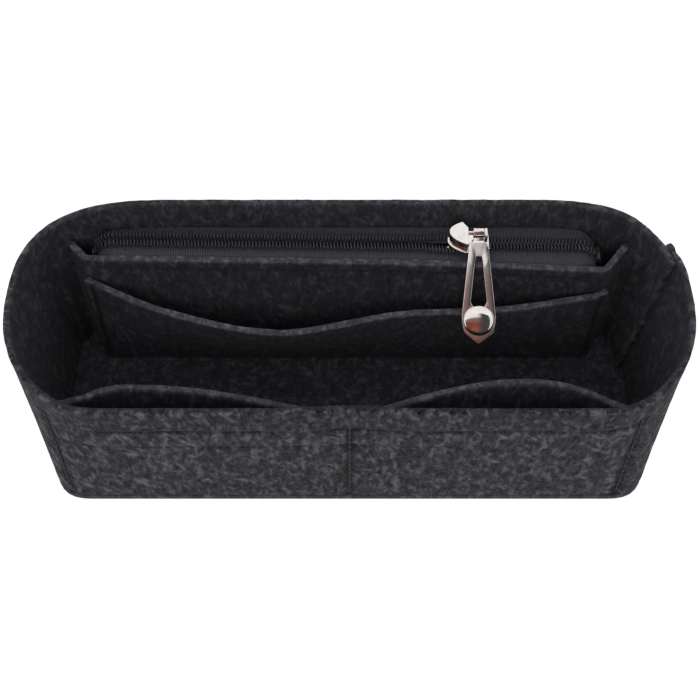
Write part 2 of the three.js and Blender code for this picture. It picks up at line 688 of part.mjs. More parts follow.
function pullTab() {
  const edge = METAL_EDGE;
  const tab = new THREE.ExtrudeGeometry(pullOutline(), {
    depth: PULL_THICKNESS - 2 * edge,
    bevelSize: edge,
    bevelOffset: -edge,
    bevelThickness: edge,
    bevelSegments: 2,
    curveSegments: 8,
  });
  tab.translate(0, 0, edge - PULL_THICKNESS / 2);
  const domeRadius = PULL_DOME_WIDTH / 2;
  const rise = spread(0, Math.PI / 2, 5).map((angle) => {
    return new THREE.Vector2(domeRadius * Math.cos(angle), PULL_DOME * Math.sin(angle));
  });
  rise[rise.length - 1].x = 0;
  const sunk = [new THREE.Vector2(0, -edge), new THREE.Vector2(domeRadius, -edge)];
  const dome = new THREE.LatheGeometry([...sunk, ...rise], 24);
  dome.rotateX(Math.PI / 2).translate(0, -PULL_DISC_PLACE, PULL_THICKNESS / 2);
  const inner = CROWN_ROD / 2 + CLEARANCE;
  const outer = inner + KNUCKLE_WALL;
  const ring = spread(0, 2 * Math.PI, 20).map((angle) => new THREE.Vector2(Math.cos(angle), Math.sin(angle)));
  const eye = extruded(
    ring.slice(0, -1).map((point) => point.clone().multiplyScalar(outer)),
    KNUCKLE,
    [ring.slice(0, -1).map((point) => point.clone().multiplyScalar(inner))],
  );
  eye.rotateY(Math.PI / 2).translate(-KNUCKLE / 2, 0, 0);
  const neckFrom = (inner + outer) / 2;
  const neckLong = PULL_NECK - neckFrom;
  const neck = new THREE.BoxGeometry(KNUCKLE, neckLong, PULL_THICKNESS - 2 * edge);
  neck.translate(0, -neckFrom - neckLong / 2, 0);
  return joined([tab, dome, eye, neck]);
}

// Seams: thread lying on the felt where two pieces are sewn together
const threadLift = THREAD / 2 + CLEARANCE;

function wallSeam(place, low, high) {
  return threadAlong(spread(low, high, 3).map((z) => wallPoint(place, z, -threadLift)), 6);
}

function flangeSeam(side) {
  const length = FLANGE_PLACE + SEAM_INSET;
  const place = side < 0 ? 2 - placeOf(length) : placeOf(length);
  const inset = 2 * (FELT + CLEARANCE) + threadLift;
  const heights = spread(wallFoot + SEAM_INSET, pouchTop - SEAM_INSET, 3);
  return threadAlong(heights.map((z) => wallPoint(place, z, inset)), 6);
}

function slipSeam(t) {
  const inset = SEAM_INSET / slipCutHeight(t);
  return threadAlong(spread(inset, 1 - inset, 3).map((rise) => slipPoint(t, rise, FELT + threadLift)), 6);
}

function zipFrontSeam() {
  const z = pouchTop - ZIP_SEAM_DROP;
  const points = spread(tapeLeft, tapeRight, 8).map((x) => {
    return new THREE.Vector3(x, pouchFrontY(x, z) - FELT / 2 - threadLift, z);
  });
  return threadAlong(points, 16);
}

function zipRearSeam() {
  const z = pouchTop - ZIP_SEAM_DROP;
  const reach = placeOf(tapeRight);
  const points = spread(1 - reach, 1 + reach, 16).map((place) => wallPoint(place, z, -threadLift));
  return threadAlong(points, 24);
}

addMesh(part, "base_panel", floorPanel(), felt);
addMesh(part, "wall_band", wallBand(), felt);
addMesh(part, "front_pocket_panel", frontPocketPanel(), felt);
addMesh(part, "pouch_front_panel", pouchFrontPanel(), felt);
addMesh(part, "slip_pocket_panel", slipPocketPanel(), felt);
addMesh(part, "zip_tape_rear", rearTape(), tapeCloth);
addMesh(part, "zip_tape_front", frontTape(), tapeCloth);
addMesh(zip, "zip_coil_rear", chainHalf(1), nylon);
addMesh(zip, "zip_coil_front", chainHalf(-1), nylon);

const stopLow = OPEN_SHIFT + CLEARANCE;
const stopHigh = OPEN_SHIFT + CHAIN_WIDTH / 2;
const bottomStop = stopBlock(-CHAIN_WIDTH / 2, CHAIN_WIDTH / 2);
addMesh(zip, "zip_top_stop_rear", stopBlock(stopLow, stopHigh), nickel).position.x = tapeLeft + CLEARANCE;
addMesh(zip, "zip_top_stop_front", stopBlock(-stopHigh, -stopLow), nickel).position.x = tapeLeft + CLEARANCE;
addMesh(zip, "zip_bottom_stop", bottomStop, nickel).position.x = tapeRight - CLEARANCE - STOP_LENGTH;

const slider = new THREE.Group();
slider.position.x = SLIDER_PLACE;
zip.add(slider);
addMesh(slider, "zip_slider_body", sliderBody(), nickel);
addMesh(slider, "zip_slider_crown", crown(), nickel);

const pull = new THREE.Group();
pull.position.set(pullMiddle, 0, pivotZ);
pull.rotation.x = THREE.MathUtils.degToRad(PULL_SLOPE);
slider.add(pull);
addMesh(pull, "zip_pull", pullTab(), nickel);

const pocketLeft = 3 - placeOf(LEFT_POCKET.reach - SEAM_INSET);
const pocketRight = 3 + placeOf(RIGHT_POCKET.reach - SEAM_INSET);
const seamLow = wallFoot + SEAM_INSET;
const lapMiddle = 4 + (lapStart + lapEnd) / 2;
addMesh(part, "seam_pocket_middle", wallSeam(3, seamLow, pocketTop), sewingThread);
addMesh(part, "seam_pocket_left", wallSeam(pocketLeft, seamLow, pocketTop), sewingThread);
addMesh(part, "seam_pocket_right", wallSeam(pocketRight, seamLow, pocketTop), sewingThread);
addMesh(part, "seam_wall_lap", wallSeam(lapMiddle, seamLow, HEIGHT - SEAM_INSET), sewingThread);
addMesh(part, "seam_pouch_left", flangeSeam(-1), sewingThread);
addMesh(part, "seam_pouch_right", flangeSeam(1), sewingThread);
addMesh(part, "seam_slip_left", slipSeam(SLIP_SEAM), sewingThread);
addMesh(part, "seam_slip_right", slipSeam(1 - SLIP_SEAM), sewingThread);
addMesh(part, "seam_zip_front", zipFrontSeam(), sewingThread);
addMesh(part, "seam_zip_rear", zipRearSeam(), sewingThread);

export default part;
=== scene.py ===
"""Felt purse organizer insert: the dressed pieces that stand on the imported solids.

Sizes in the classes are millimetres in the part's own frame, and become metres where a mesh is
written.
"""

import logging
import math
from contextlib import contextmanager
from dataclasses import dataclass, field
from enum import Enum
from functools import cached_property
from typing import Callable, Iterator, Sequence

import bmesh
import bpy
import numpy as np
from mathutils import Matrix, Vector, noise
from mathutils.kdtree import KDTree


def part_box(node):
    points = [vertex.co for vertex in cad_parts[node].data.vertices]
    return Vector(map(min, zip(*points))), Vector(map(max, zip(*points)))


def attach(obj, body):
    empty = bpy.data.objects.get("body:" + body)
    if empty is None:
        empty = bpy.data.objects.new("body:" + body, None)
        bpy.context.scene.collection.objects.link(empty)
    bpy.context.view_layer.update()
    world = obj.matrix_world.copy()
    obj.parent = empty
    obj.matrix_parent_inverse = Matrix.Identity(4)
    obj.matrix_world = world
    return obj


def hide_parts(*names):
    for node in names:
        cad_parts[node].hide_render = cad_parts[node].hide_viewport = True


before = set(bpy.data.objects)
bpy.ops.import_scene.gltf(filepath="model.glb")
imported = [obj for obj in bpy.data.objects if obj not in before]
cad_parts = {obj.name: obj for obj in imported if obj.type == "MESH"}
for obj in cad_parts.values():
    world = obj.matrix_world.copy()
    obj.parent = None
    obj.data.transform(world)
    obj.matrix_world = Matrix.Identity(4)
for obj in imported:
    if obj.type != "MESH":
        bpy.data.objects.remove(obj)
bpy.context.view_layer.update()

MM = 0.001
DOUBLES = 0.002  # points nearer than this, in millimetres, are merged
CLEAR = 0.1  # room left between a panel and what it lies against
NEARLY = 1e-6
ROOM = 0.48  # share of a side that a rounded corner may take up
SEED_STEPS = (1.0, 2.7, -1.9)
Array = np.ndarray
Colour = tuple[float, float, float]
Material = bpy.types.Material
Pair = tuple[float, float]
Piece = bpy.types.Object
Relief = Callable[[Array, Array], Array]
Socket = bpy.types.NodeSocket
log = logging.getLogger("insert")


class Body(Enum):
    """The bodies that pieces ride on."""

    INSERT = "insert"
    SLIDER = "slider"
    PULL = "pull"


class Slot(Enum):
    """The record's material slots."""

    FELT = "felt"
    TAPE = "zip_tape"
    COIL = "zip_coil"
    STOP = "zip_stop"
    NICKEL = "nickel"
    THREAD = "thread"


class Side(Enum):
    """The two sides of the zip."""

    REAR = 1
    FRONT = -1


# Bench work


def take_up(*pieces: Piece) -> None:
    """Select these pieces alone, with the first one active.

    Args:
        pieces: The objects to work on, or none to clear the selection.
    """
    if bpy.context.mode != "OBJECT":
        bpy.ops.object.mode_set(mode="OBJECT")
    bpy.ops.object.select_all(action="DESELECT")
    for piece in pieces:
        piece.select_set(True)
    if pieces:
        bpy.context.view_layer.objects.active = pieces[0]


@contextmanager
def editing(piece: Piece) -> Iterator[bmesh.types.BMesh]:
    """Open a piece in edit mode with everything selected.

    Args:
        piece: The mesh object.

    Returns:
        The edit mesh, while the piece is open.
    """
    take_up(piece)
    bpy.ops.object.mode_set(mode="EDIT")
    bpy.ops.mesh.select_all(action="SELECT")
    yield bmesh.from_edit_mesh(piece.data)
    bpy.ops.object.mode_set(mode="OBJECT")


def named(name: str) -> Piece:
    """Name the active object and return it.

    Args:
        name: The new name.

    Returns:
        The object.
    """
    piece = bpy.context.object
    piece.name = piece.data.name = name
    return piece


def start_with(name: str, add: Callable[..., object], **settings: object) -> Piece:
    """Add the primitive that a piece is modelled from.

    Args:
        name: The piece's name.
        add: The operator that adds the primitive.
        settings: The operator's values.

    Returns:
        The piece, at the origin, unturned and unscaled.
    """
    take_up()
    add(**settings)
    bpy.ops.object.transform_apply()
    return named(name)


def finish_with(piece: Piece, kind: str, **settings: object) -> None:
    """Add a modifier to a piece and apply it.

    Args:
        piece: The mesh object.
        kind: Blender's name for the modifier.
        settings: The modifier's values.
    """
    take_up(piece)
    bpy.ops.object.modifier_add(type=kind)
    modifier = piece.modifiers[-1]
    for name, value in settings.items():
        setattr(modifier, name, value)
    bpy.ops.object.modifier_apply(modifier=modifier.name)


def face_outwards(piece: Piece) -> None:
    """Merge doubles and turn every face of a closed piece outwards.

    Args:
        piece: The mesh object.
    """
    with editing(piece):
        bpy.ops.mesh.remove_doubles(threshold=DOUBLES * MM)
        bpy.ops.mesh.normals_make_consistent(inside=False)


def smooth(piece: Piece, degrees: float = 40.0) -> None:
    """Shade a piece smooth, except over edges sharper than this."""
    take_up(piece)
    bpy.ops.object.shade_smooth_by_angle(angle=math.radians(degrees))


def fuse(piece: Piece, others: Sequence[Piece]) -> None:
    """Union closed pieces into one and remove the others.

    Args:
        piece: The piece that stays.
        others: The pieces that are joined to it.
    """
    for other in others:
        finish_with(piece, "BOOLEAN", operation="UNION", object=other, solver="EXACT")
        bpy.data.objects.remove(other)


def round_edges(piece: Piece, width: float, segments: int, degrees: float = 40.0) -> None:
    """Bevel the sharp edges of a piece.

    Args:
        piece: The mesh object.
        width: Size of the bevel in millimetres.
        segments: Faces across the bevel.
        degrees: Edges sharper than this are bevelled.
    """
    finish_with(
        piece, "BEVEL", width=width * MM, segments=segments, limit_method="ANGLE",
        angle_limit=math.radians(degrees), use_clamp_overlap=True,
    )


def raise_selected(height: float) -> None:
    """Extrude what is selected straight up."""
    move = {"value": (0, 0, height * MM)}
    bpy.ops.mesh.extrude_region_move(TRANSFORM_OT_translate=move)


def ring(name: str, outline: Array, z: float, fill: str) -> Piece:
    """A circle primitive with its points moved onto a level outline.

    Args:
        name: The piece's name.
        outline: X and Y of its points, in order.
        z: Its height.
        fill: How Blender fills it.

    Returns:
        The piece.
    """
    add, count = bpy.ops.mesh.primitive_circle_add, len(outline)
    piece = start_with(name, add, vertices=count, radius=1, fill_type=fill)
    put_points(piece, np.column_stack([outline, np.full(count, z)]))
    return piece


def prism(name: str, outline: Array, low: float, high: float) -> Piece:
    """A flat outline extruded between two heights.

    Args:
        name: The piece's name.
        outline: Points of the outline, in order.
        low: Height of the under side.
        high: Height of the upper side.

    Returns:
        The closed piece.
    """
    piece = ring(name, outline, low, "NGON")
    with editing(piece):
        raise_selected(high - low)
    face_outwards(piece)
    return piece


def inset_face(piece: Piece, rank: Callable[..., float], width: float, rise: float) -> None:
    """Set in the face that ranks highest and move it along its normal.

    Args:
        piece: The mesh object.
        rank: Gives a face's rank.
        width: How far its edges are set in.
        rise: How far it is moved outwards.
    """
    with editing(piece) as mesh:
        bpy.ops.mesh.select_all(action="DESELECT")
        max(mesh.faces, key=rank).select_set(True)
        bmesh.update_edit_mesh(piece.data)
        bpy.ops.mesh.inset(thickness=width * MM, depth=rise * MM)


def slice_off(piece: Piece, place: Sequence[float], way: Colour) -> None:
    """Cut away what lies beyond a plane, and close the cut.

    Args:
        piece: The mesh object.
        place: A point on the plane.
        way: The plane's normal, towards what goes.
    """
    point = tuple(value * MM for value in place)
    with editing(piece):
        bpy.ops.mesh.bisect(plane_co=point, plane_no=way, clear_outer=True, use_fill=True)


def points_of(piece: Piece, value: str = "co") -> Array:
    """A mesh's vertices, one row each: places in millimetres, or normals.

    Args:
        piece: The mesh object.
        value: Blender's name for what is read.

    Returns:
        Three numbers for each vertex.
    """
    flat = np.empty(3 * len(piece.data.vertices))
    piece.data.vertices.foreach_get(value, flat)
    return flat.reshape(-1, 3) / (MM if value == "co" else 1)


def put_points(piece: Piece, points: Array) -> None:
    """Write a mesh's vertices, given in millimetres."""
    piece.data.vertices.foreach_set("co", (points * MM).ravel())
    piece.data.update()


def push(piece: Piece, relief: Relief) -> Array:
    """Move each vertex along its normal.

    Args:
        piece: The mesh object.
        relief: Gives the move in millimetres from the points and their normals.

    Returns:
        The moves.
    """
    points, normals = points_of(piece), points_of(piece, "normal")
    moves = relief(points, normals)
    put_points(piece, points + normals * moves[:, None])
    return moves


def store(piece: Piece, name: str, values: Array) -> None:
    """Store a number on each vertex, for the finish to read."""
    held = piece.data.attributes.new(name, "FLOAT", "POINT")
    held.data.foreach_set("value", values)


def unevenness(points: Array, size: float, seed: float) -> Array:
    """Soft noise from -1 to 1 at some points, in lumps of a size, shifted by a seed."""
    shift = Vector([seed * step for step in SEED_STEPS])
    return np.array([noise.noise(Vector(point) / size + shift) for point in points])


def place_in(piece: Piece, matrix: Matrix) -> None:
    """Turn a piece's millimetre drawing into its place, with the object left at the origin."""
    piece.data.transform(Matrix.Translation(matrix.translation * MM) @ matrix.to_3x3().to_4x4())
    piece.data.update()


def dress(
    piece: Piece, material: Material, node: str, body: Body = Body.INSERT
) -> None:
    """Give a piece its finish, its body and the solid that it stands for.

    Args:
        piece: The finished mesh object.
        material: Its finish.
        node: Name of the solid that it replaces.
        body: The body that it rides on.
    """
    piece.data.materials.clear()
    piece.data.materials.append(material)
    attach(piece, body.value)
    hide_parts(node)
    log.info("%s: %d faces, for %s", piece.name, len(piece.data.polygons), node)


# Lines and curves


def bell(t: Array | float) -> Array:
    """Ease from 1 at 0 to 0 at 1."""
    return 0.5 + 0.5 * np.cos(math.pi * np.clip(t, 0, 1))


def dip(distance: Array, width: float) -> Array:
    """A soft bump of height 1 round a distance of 0."""
    return np.exp(-((distance / width) ** 2))


def between(pair: Pair, share: Array | float) -> Array:
    """The number at a share of the way between two."""
    return pair[0] + (pair[1] - pair[0]) * share


def turned_line(knots: Sequence[Pair], count: int) -> Array:
    """Points on the curve from a knot towards a second one and on to a third.

    Args:
        knots: The three knots.
        count: Number of points, the first of which is left out.

    Returns:
        One row for each point.
    """
    start, towards, end = np.array(knots, float)
    t = np.linspace(0, 1, count)[1:, None]
    return start * (1 - t) ** 2 + 2 * towards * t * (1 - t) + end * t**2


def smooth_curve(knots: Sequence[Pair], count: int) -> Array:
    """Points on the smooth curve through some knots.

    Args:
        knots: The points that the curve passes.
        count: Number of points wanted.

    Returns:
        One row for each point.
    """
    line = np.array(knots, float)
    last = len(line) - 1
    t = np.linspace(0, last, count)
    i = np.minimum(t.astype(int), last - 1)
    w = (t - i)[:, None]
    before, start = line[np.maximum(i - 1, 0)], line[i]
    end, after = line[np.minimum(i + 1, last)], line[np.minimum(i + 2, last)]
    v0, v1 = (end - before) / 2, (after - start) / 2
    cubic = 2 * start - 2 * end + v0 + v1
    square = -3 * start + 3 * end - 2 * v0 - v1
    return ((cubic * w + square) * w + v0) * w + start


def lengths_along(line: Array) -> Array:
    """Length from a line's start to each of its points."""
    return np.append(0, np.cumsum(np.linalg.norm(np.diff(line, axis=0), axis=1)))


def evenly(line: Array, count: int) -> Array:
    """Points at even steps of length along a line.

    Args:
        line: The line's points.
        count: Number of points wanted.

    Returns:
        One row for each point.
    """
    along = lengths_along(line)
    steps = np.linspace(0, along[-1], count)
    return np.stack([np.interp(steps, along, line[:, k]) for k in range(line.shape[1])], axis=1)


def rounded(points: Array, corners: Sequence[int], radius: float, steps: int) -> Array:
    """A line through points that turns in an arc at some of them.

    Args:
        points: The line's points.
        corners: Indices of the points to round.
        radius: Radius of the arcs.
        steps: Segments in each arc.

    Returns:
        The rounded line.
    """
    line = []
    for i, point in enumerate(points):
        if i not in corners:
            line.append(point)
            continue
        before, after = point - points[i - 1], points[i + 1] - point
        room = ROOM * min(np.linalg.norm(before), np.linalg.norm(after))
        before, after = before / np.linalg.norm(before), after / np.linalg.norm(after)
        turn = math.acos(np.clip(before @ after, -1, 1))
        reach = min(radius * math.tan(turn / 2), room)
        bend = reach / math.tan(turn / 2)
        inside = after - before * (before @ after)
        inside /= np.linalg.norm(inside)
        for angle in np.linspace(0, turn, steps + 1):
            arc = before * bend * math.sin(angle) + inside * bend * (1 - math.cos(angle))
            line.append(point - before * reach + arc)
    return np.array(line)


# Finishes


class Recipe:
    """The nodes of a material or a world, with short ways to add and join them."""

    def __init__(self, owner: Material | bpy.types.World) -> None:
        """Open the owner's nodes.

        Args:
            owner: The material or the world.
        """
        owner.use_nodes = True
        self.owner = owner
        self.nodes = owner.node_tree.nodes

    @classmethod
    def of(cls, name: str) -> "Recipe":
        """Start a material."""
        return cls(bpy.data.materials.new(name))

    @cached_property
    def place(self) -> Socket:
        """The Object coordinates."""
        return self.add("ShaderNodeTexCoord").outputs["Object"]

    def add(
        self, kind: str, inputs: dict[str | int, object] | None = None, **settings: object
    ) -> bpy.types.Node:
        """Add a node.

        Args:
            kind: Blender's name for the node.
            inputs: Values or sockets for its inputs.
            settings: Its other properties.

        Returns:
            The node.
        """
        node = self.nodes.new(kind)
        for name, value in settings.items():
            setattr(node, name, value)
        for key, value in (inputs or {}).items():
            self.feed(node.inputs[key], value)
        return node

    def feed(self, socket: Socket, value: object) -> None:
        """Set an input, or link it where the value is a socket.

        Args:
            socket: The input.
            value: What it gets.
        """
        if isinstance(value, Socket):
            self.owner.node_tree.links.new(value, socket)
        else:
            socket.default_value = value

    def set(self, **values: object) -> None:
        """Set the shader's inputs, named with underscores for spaces."""
        for name, value in values.items():
            self.feed(self.nodes["Principled BSDF"].inputs[name.replace("_", " ")], value)

    def mark(self, name: str) -> Socket:
        """A number that is stored on the mesh."""
        return self.add("ShaderNodeAttribute", attribute_name=name).outputs["Fac"]

    def axis(self, number: int, place: Socket | None = None) -> Socket:
        """One of the three coordinates of a place."""
        place = self.place if place is None else place
        return self.add("ShaderNodeSeparateXYZ", {0: place}).outputs[number]

    def noise(self, place: Socket, scale: float, detail: float = 2.0) -> bpy.types.Node:
        """Noise at a place."""
        return self.add("ShaderNodeTexNoise", {"Vector": place, "Scale": scale, "Detail": detail})

    def grain(self, scale: float, detail: float = 2.0, place: Socket | None = None) -> Socket:
        """Noise from 0 to 1, at the Object coordinates or another place."""
        place = self.place if place is None else place
        return self.noise(place, scale, detail).outputs["Fac"]

    def sums(self, operation: str, a: object, b: object) -> Socket:
        """Arithmetic on two numbers."""
        return self.add("ShaderNodeMath", {0: a, 1: b}, operation=operation).outputs[0]

    def times(self, a: object, b: object) -> Socket:
        """The product of two numbers."""
        return self.sums("MULTIPLY", a, b)

    def shift(self, operation: str, a: object, b: object) -> Socket:
        """Arithmetic on a vector with a vector, or with a number if it is scaled."""
        inputs = {0: a, "Scale" if operation == "SCALE" else 1: b}
        return self.add("ShaderNodeVectorMath", inputs, operation=operation).outputs[0]

    def waves(self, along: Socket, pitch: float) -> Socket:
        """A sine wave of a pitch in millimetres."""
        return self.sums("SINE", self.times(along, 2 * math.pi / (pitch * MM)), 0.0)

    def spread(self, value: object, low: float, high: float, to: Pair = (0, 1)) -> Socket:
        """Map a range of numbers softly onto another.

        Args:
            value: A number.
            low: Start of its range.
            high: End of its range.
            to: The other range.

        Returns:
            The mapped number.
        """
        inputs = {"Value": value, "From Min": low, "From Max": high}
        inputs |= {"To Min": to[0], "To Max": to[1]}
        node = self.add("ShaderNodeMapRange", inputs, interpolation_type="SMOOTHSTEP")
        return node.outputs["Result"]

    def blend(self, share: object, a: object, b: object) -> Socket:
        """Mix two colours.

        Args:
            share: How much of the second one.
            a: The first colour.
            b: The second colour.

        Returns:
            The mixed colour.
        """
        node = self.add("ShaderNodeMix", data_type="RGBA")
        for number, value in ((0, share), (6, a), (7, b)):  # 6 and 7 are the colours
            solid = isinstance(value, tuple)
            self.feed(node.inputs[number], (*value, 1.0) if solid else value)
        return node.outputs[2]

    def raised(self, height: Socket, depth: float, strength: float = 1.0) -> None:
        """Give the shader a bump of a depth in millimetres."""
        inputs = {"Height": height, "Distance": depth * MM, "Strength": strength}
        self.set(Normal=self.add("ShaderNodeBump", inputs).outputs["Normal"])

    def seen_rays(self) -> Socket:
        """1 for the rays that show the background: camera, glossy and transmission rays.

        Returns:
            The mark.
        """
        path = self.add("ShaderNodeLightPath").outputs
        either = self.sums("MAXIMUM", path["Is Camera Ray"], path["Is Glossy Ray"])
        return self.sums("MAXIMUM", either, path["Is Transmission Ray"])


@dataclass(frozen=True)
class Strands:
    """One kind of fibre in the felt: its size, how many show, and the ways that it lies."""

    length: float
    width: float
    shown: Pair
    tone: float
    lies: tuple[Colour, ...]
    fading: float = 0.07
    apart: Colour = (0.013, 0.007, -0.011)

    def show(self, mix: Recipe, place: Socket) -> Socket:
        """Where these fibres show, from 0 to their tone.

        Args:
            mix: The felt's nodes.
            place: Where the pattern is read.

        Returns:
            The tone.
        """
        found = None
        for number, lie in enumerate(self.lies):
            inputs = {
                "Vector": place,
                "Location": tuple(number * step for step in self.apart),
                "Rotation": tuple(math.radians(angle) for angle in lie),
                "Scale": (self.length * MM, self.width * MM, self.width * MM),
            }
            turned = mix.add("ShaderNodeMapping", inputs, vector_type="TEXTURE").outputs[0]
            tone = self.tone * (1 - self.fading * number)
            strand = mix.spread(mix.grain(1.0, 0.0, turned), *self.shown, (0, tone))
            found = strand if found is None else mix.sums("MAXIMUM", found, strand)
        return found


@dataclass(frozen=True)
class FeltFinish:
    """Charcoal needle-punched felt: a dark mat crossed by lighter fibres that lie every way."""

    name: str = "charcoal_felt"
    shade: Colour = (0.0042, 0.0041, 0.0054)
    ground: Colour = (0.0213, 0.0203, 0.0264)
    cool: Colour = (0.193, 0.184, 0.221)
    warm: Colour = (0.185, 0.182, 0.195)
    # painted shade: every felt face but the wall's outer face is mixed towards this darker, even
    # colour, as if in shadow
    inner_shade_colour: Colour = (0.0370, 0.0357, 0.0455)
    stretch: Colour = (1.16, 1.0, 0.76)
    # painted highlight: near a cut edge the colour is lifted up to this many times, as if the edge
    # caught the light
    cut: float = 2.35
    # painted shade: where it is full, the colour falls to this share
    darkest_shade: float = 0.36
    # share of the grain kept on the faces with painted shade
    shaded_grain: float = 0.45
    wander: float = 1.3
    drift_scale: float = 190.0
    cloud_scale: float = 270.0
    tint_scale: float = 75.0
    pepper_scale: float = 2300.0
    pepper_low: float = 0.62
    pepper_height: float = 0.35
    bump: Pair = (0.34, 0.7)
    sheen: Colour = (0.8, 0.8, 0.85)
    sheen_weight: float = 0.07
    sheen_roughness: float = 0.6
    roughness: float = 0.95
    shine: float = 0.15
    cloud_edge: Pair = (0.36, 0.66)
    cloud_full: float = 0.8
    cloud_low: float = 0.35
    pepper_edge: Pair = (0.2, 0.7)
    tint_edge: Pair = (0.4, 0.6)
    coarse: Strands = Strands(
        5.6, 2.3, (0.53, 0.84), 1.0,
        ((0, 30, 4), (12, 68, 24), (-20, -58, -28), (8, 88, 12), (24, 106, -20), (16, 78, 62),
         (-24, -78, 48)),
    )
    fine: Strands = Strands(
        3.4, 0.8, (0.58, 0.80), 0.34,
        ((5, 25, 10), (-18, 64, -22), (26, 104, 34), (-30, 150, -8), (14, -24, 58)),
    )

    def make(self) -> Material:
        """Build the finish.

        Returns:
            The material.
        """
        mix = Recipe.of(self.name)
        laid = mix.add("ShaderNodeMapping", {"Vector": mix.place, "Scale": self.stretch}).outputs[0]
        drift = mix.noise(laid, self.drift_scale, 1.0).outputs["Color"]
        centred = mix.shift("SUBTRACT", drift, (0.5, 0.5, 0.5))
        place = mix.shift("ADD", laid, mix.shift("SCALE", centred, 2 * self.wander * MM))
        cloud = mix.spread(mix.grain(self.cloud_scale, 3.0, laid), *self.cloud_edge)
        pepper = mix.grain(self.pepper_scale, 2.0, laid)
        clouded = mix.spread(cloud, 0.0, self.cloud_full, (self.cloud_low, 1.0))
        coarse = mix.times(self.coarse.show(mix, place), clouded)
        fibres = mix.sums("MAXIMUM", coarse, self.fine.show(mix, place))
        patchy = mix.times(fibres, mix.spread(pepper, *self.pepper_edge, (self.pepper_low, 1.0)))
        warmth = mix.spread(mix.grain(self.tint_scale), *self.tint_edge)
        tint = mix.blend(warmth, self.cool, self.warm)
        grained = mix.blend(patchy, mix.blend(cloud, self.shade, self.ground), tint)
        # painted shade: faces off the wall's outer face keep only part of their grain
        nap = mix.spread(mix.mark("nap"), 0.0, 1.0, (self.shaded_grain, 1.0))
        # painted highlight at the cut edges times painted shade in creases, seam grooves, the band
        # over the front's crease and the floor
        highlight_and_shade = mix.times(
            mix.spread(mix.mark("edge"), 0.0, 1.0, (1.0, self.cut)),
            mix.spread(mix.mark("pressed"), 0.0, 1.0, (1.0, self.darkest_shade)),
        )
        # the felt's colour, with its painted shade and painted highlight
        worn = mix.shift("SCALE", mix.blend(nap, self.inner_shade_colour, grained), highlight_and_shade)
        mix.set(Base_Color=worn, Roughness=self.roughness, Specular_IOR_Level=self.shine)
        mix.set(Sheen_Weight=self.sheen_weight, Sheen_Roughness=self.sheen_roughness)
        mix.set(Sheen_Tint=(*self.sheen, 1.0))
        mix.raised(mix.sums("ADD", fibres, mix.times(pepper, self.pepper_height)), *self.bump)
        return mix.owner


@dataclass(frozen=True)
class TapeFinish:
    """Woven polyester zip tape: fine ribs across it, crossed by threads along it."""

    name: str = "woven_tape"
    shade: Colour = (0.0315, 0.0307, 0.0390)
    light: Colour = (0.105, 0.1022, 0.126)
    rib: float = 0.95
    pick: float = 0.6
    pick_height: float = 0.45
    bump: Pair = (0.14, 0.8)
    weave_depth: float = 1.3
    worn_scale: float = 900.0
    worn_edge: Pair = (0.25, 0.75)
    worn_low: float = 0.55
    roughness: float = 0.78
    sheen: float = 0.1

    def make(self) -> Material:
        """Build the finish.

        Returns:
            The material.
        """
        mix = Recipe.of(self.name)
        picks = mix.waves(mix.sums("ADD", mix.axis(1), mix.axis(2)), self.pick)
        ribs = mix.waves(mix.axis(0), self.rib)
        weave = mix.sums("ADD", ribs, mix.times(picks, self.pick_height))
        weave = mix.spread(weave, -self.weave_depth, self.weave_depth)
        worn = mix.spread(mix.grain(self.worn_scale), *self.worn_edge, (self.worn_low, 1.0))
        mix.set(Base_Color=mix.blend(mix.times(weave, worn), self.shade, self.light))
        mix.set(Roughness=self.roughness, Sheen_Weight=self.sheen)
        mix.raised(weave, *self.bump)
        return mix.owner


@dataclass(frozen=True)
class NylonFinish:
    """Black nylon, drawn for the coil or moulded for the stops."""

    name: str = "black_nylon"
    shade: Colour = (0.034, 0.0335, 0.041)
    light: Colour = (0.056, 0.0547, 0.066)
    roughness: float = 0.58
    tone_scale: float = 700.0
    tone_edge: Pair = (0.3, 0.7)
    fine_scale: float = 5200.0
    bump: float = 0.02

    def make(self) -> Material:
        """Build the finish.

        Returns:
            The material.
        """
        mix = Recipe.of(self.name)
        tone = mix.spread(mix.grain(self.tone_scale, 3.0), *self.tone_edge)
        mix.set(Base_Color=mix.blend(tone, self.shade, self.light), Roughness=self.roughness)
        mix.raised(mix.grain(self.fine_scale), self.bump)
        return mix.owner


@dataclass(frozen=True)
class NickelFinish:
    """Bright nickel plate on die-cast zinc, with faint handling marks."""

    name: str = "bright_nickel"
    clean: Colour = (0.83, 0.795, 0.775)
    worn: Colour = (0.70, 0.65, 0.63)
    roughness: Pair = (0.06, 0.15)
    fine_share: float = 0.3
    haze_scale: float = 260.0
    haze_edge: Pair = (0.45, 0.8)
    fine_scale: float = 4200.0
    mark_edge: Pair = (0.4, 0.95)
    bump: Pair = (0.006, 0.5)

    def make(self) -> Material:
        """Build the finish.

        Returns:
            The material.
        """
        mix = Recipe.of(self.name)
        haze, fine = mix.grain(self.haze_scale, 4.0), mix.grain(self.fine_scale)
        marks = mix.sums("ADD", haze, mix.times(fine, self.fine_share))
        mix.set(Base_Color=mix.blend(mix.spread(haze, *self.haze_edge), self.clean, self.worn))
        mix.set(Metallic=1.0, Roughness=mix.spread(marks, *self.mark_edge, self.roughness))
        mix.raised(fine, *self.bump)
        return mix.owner


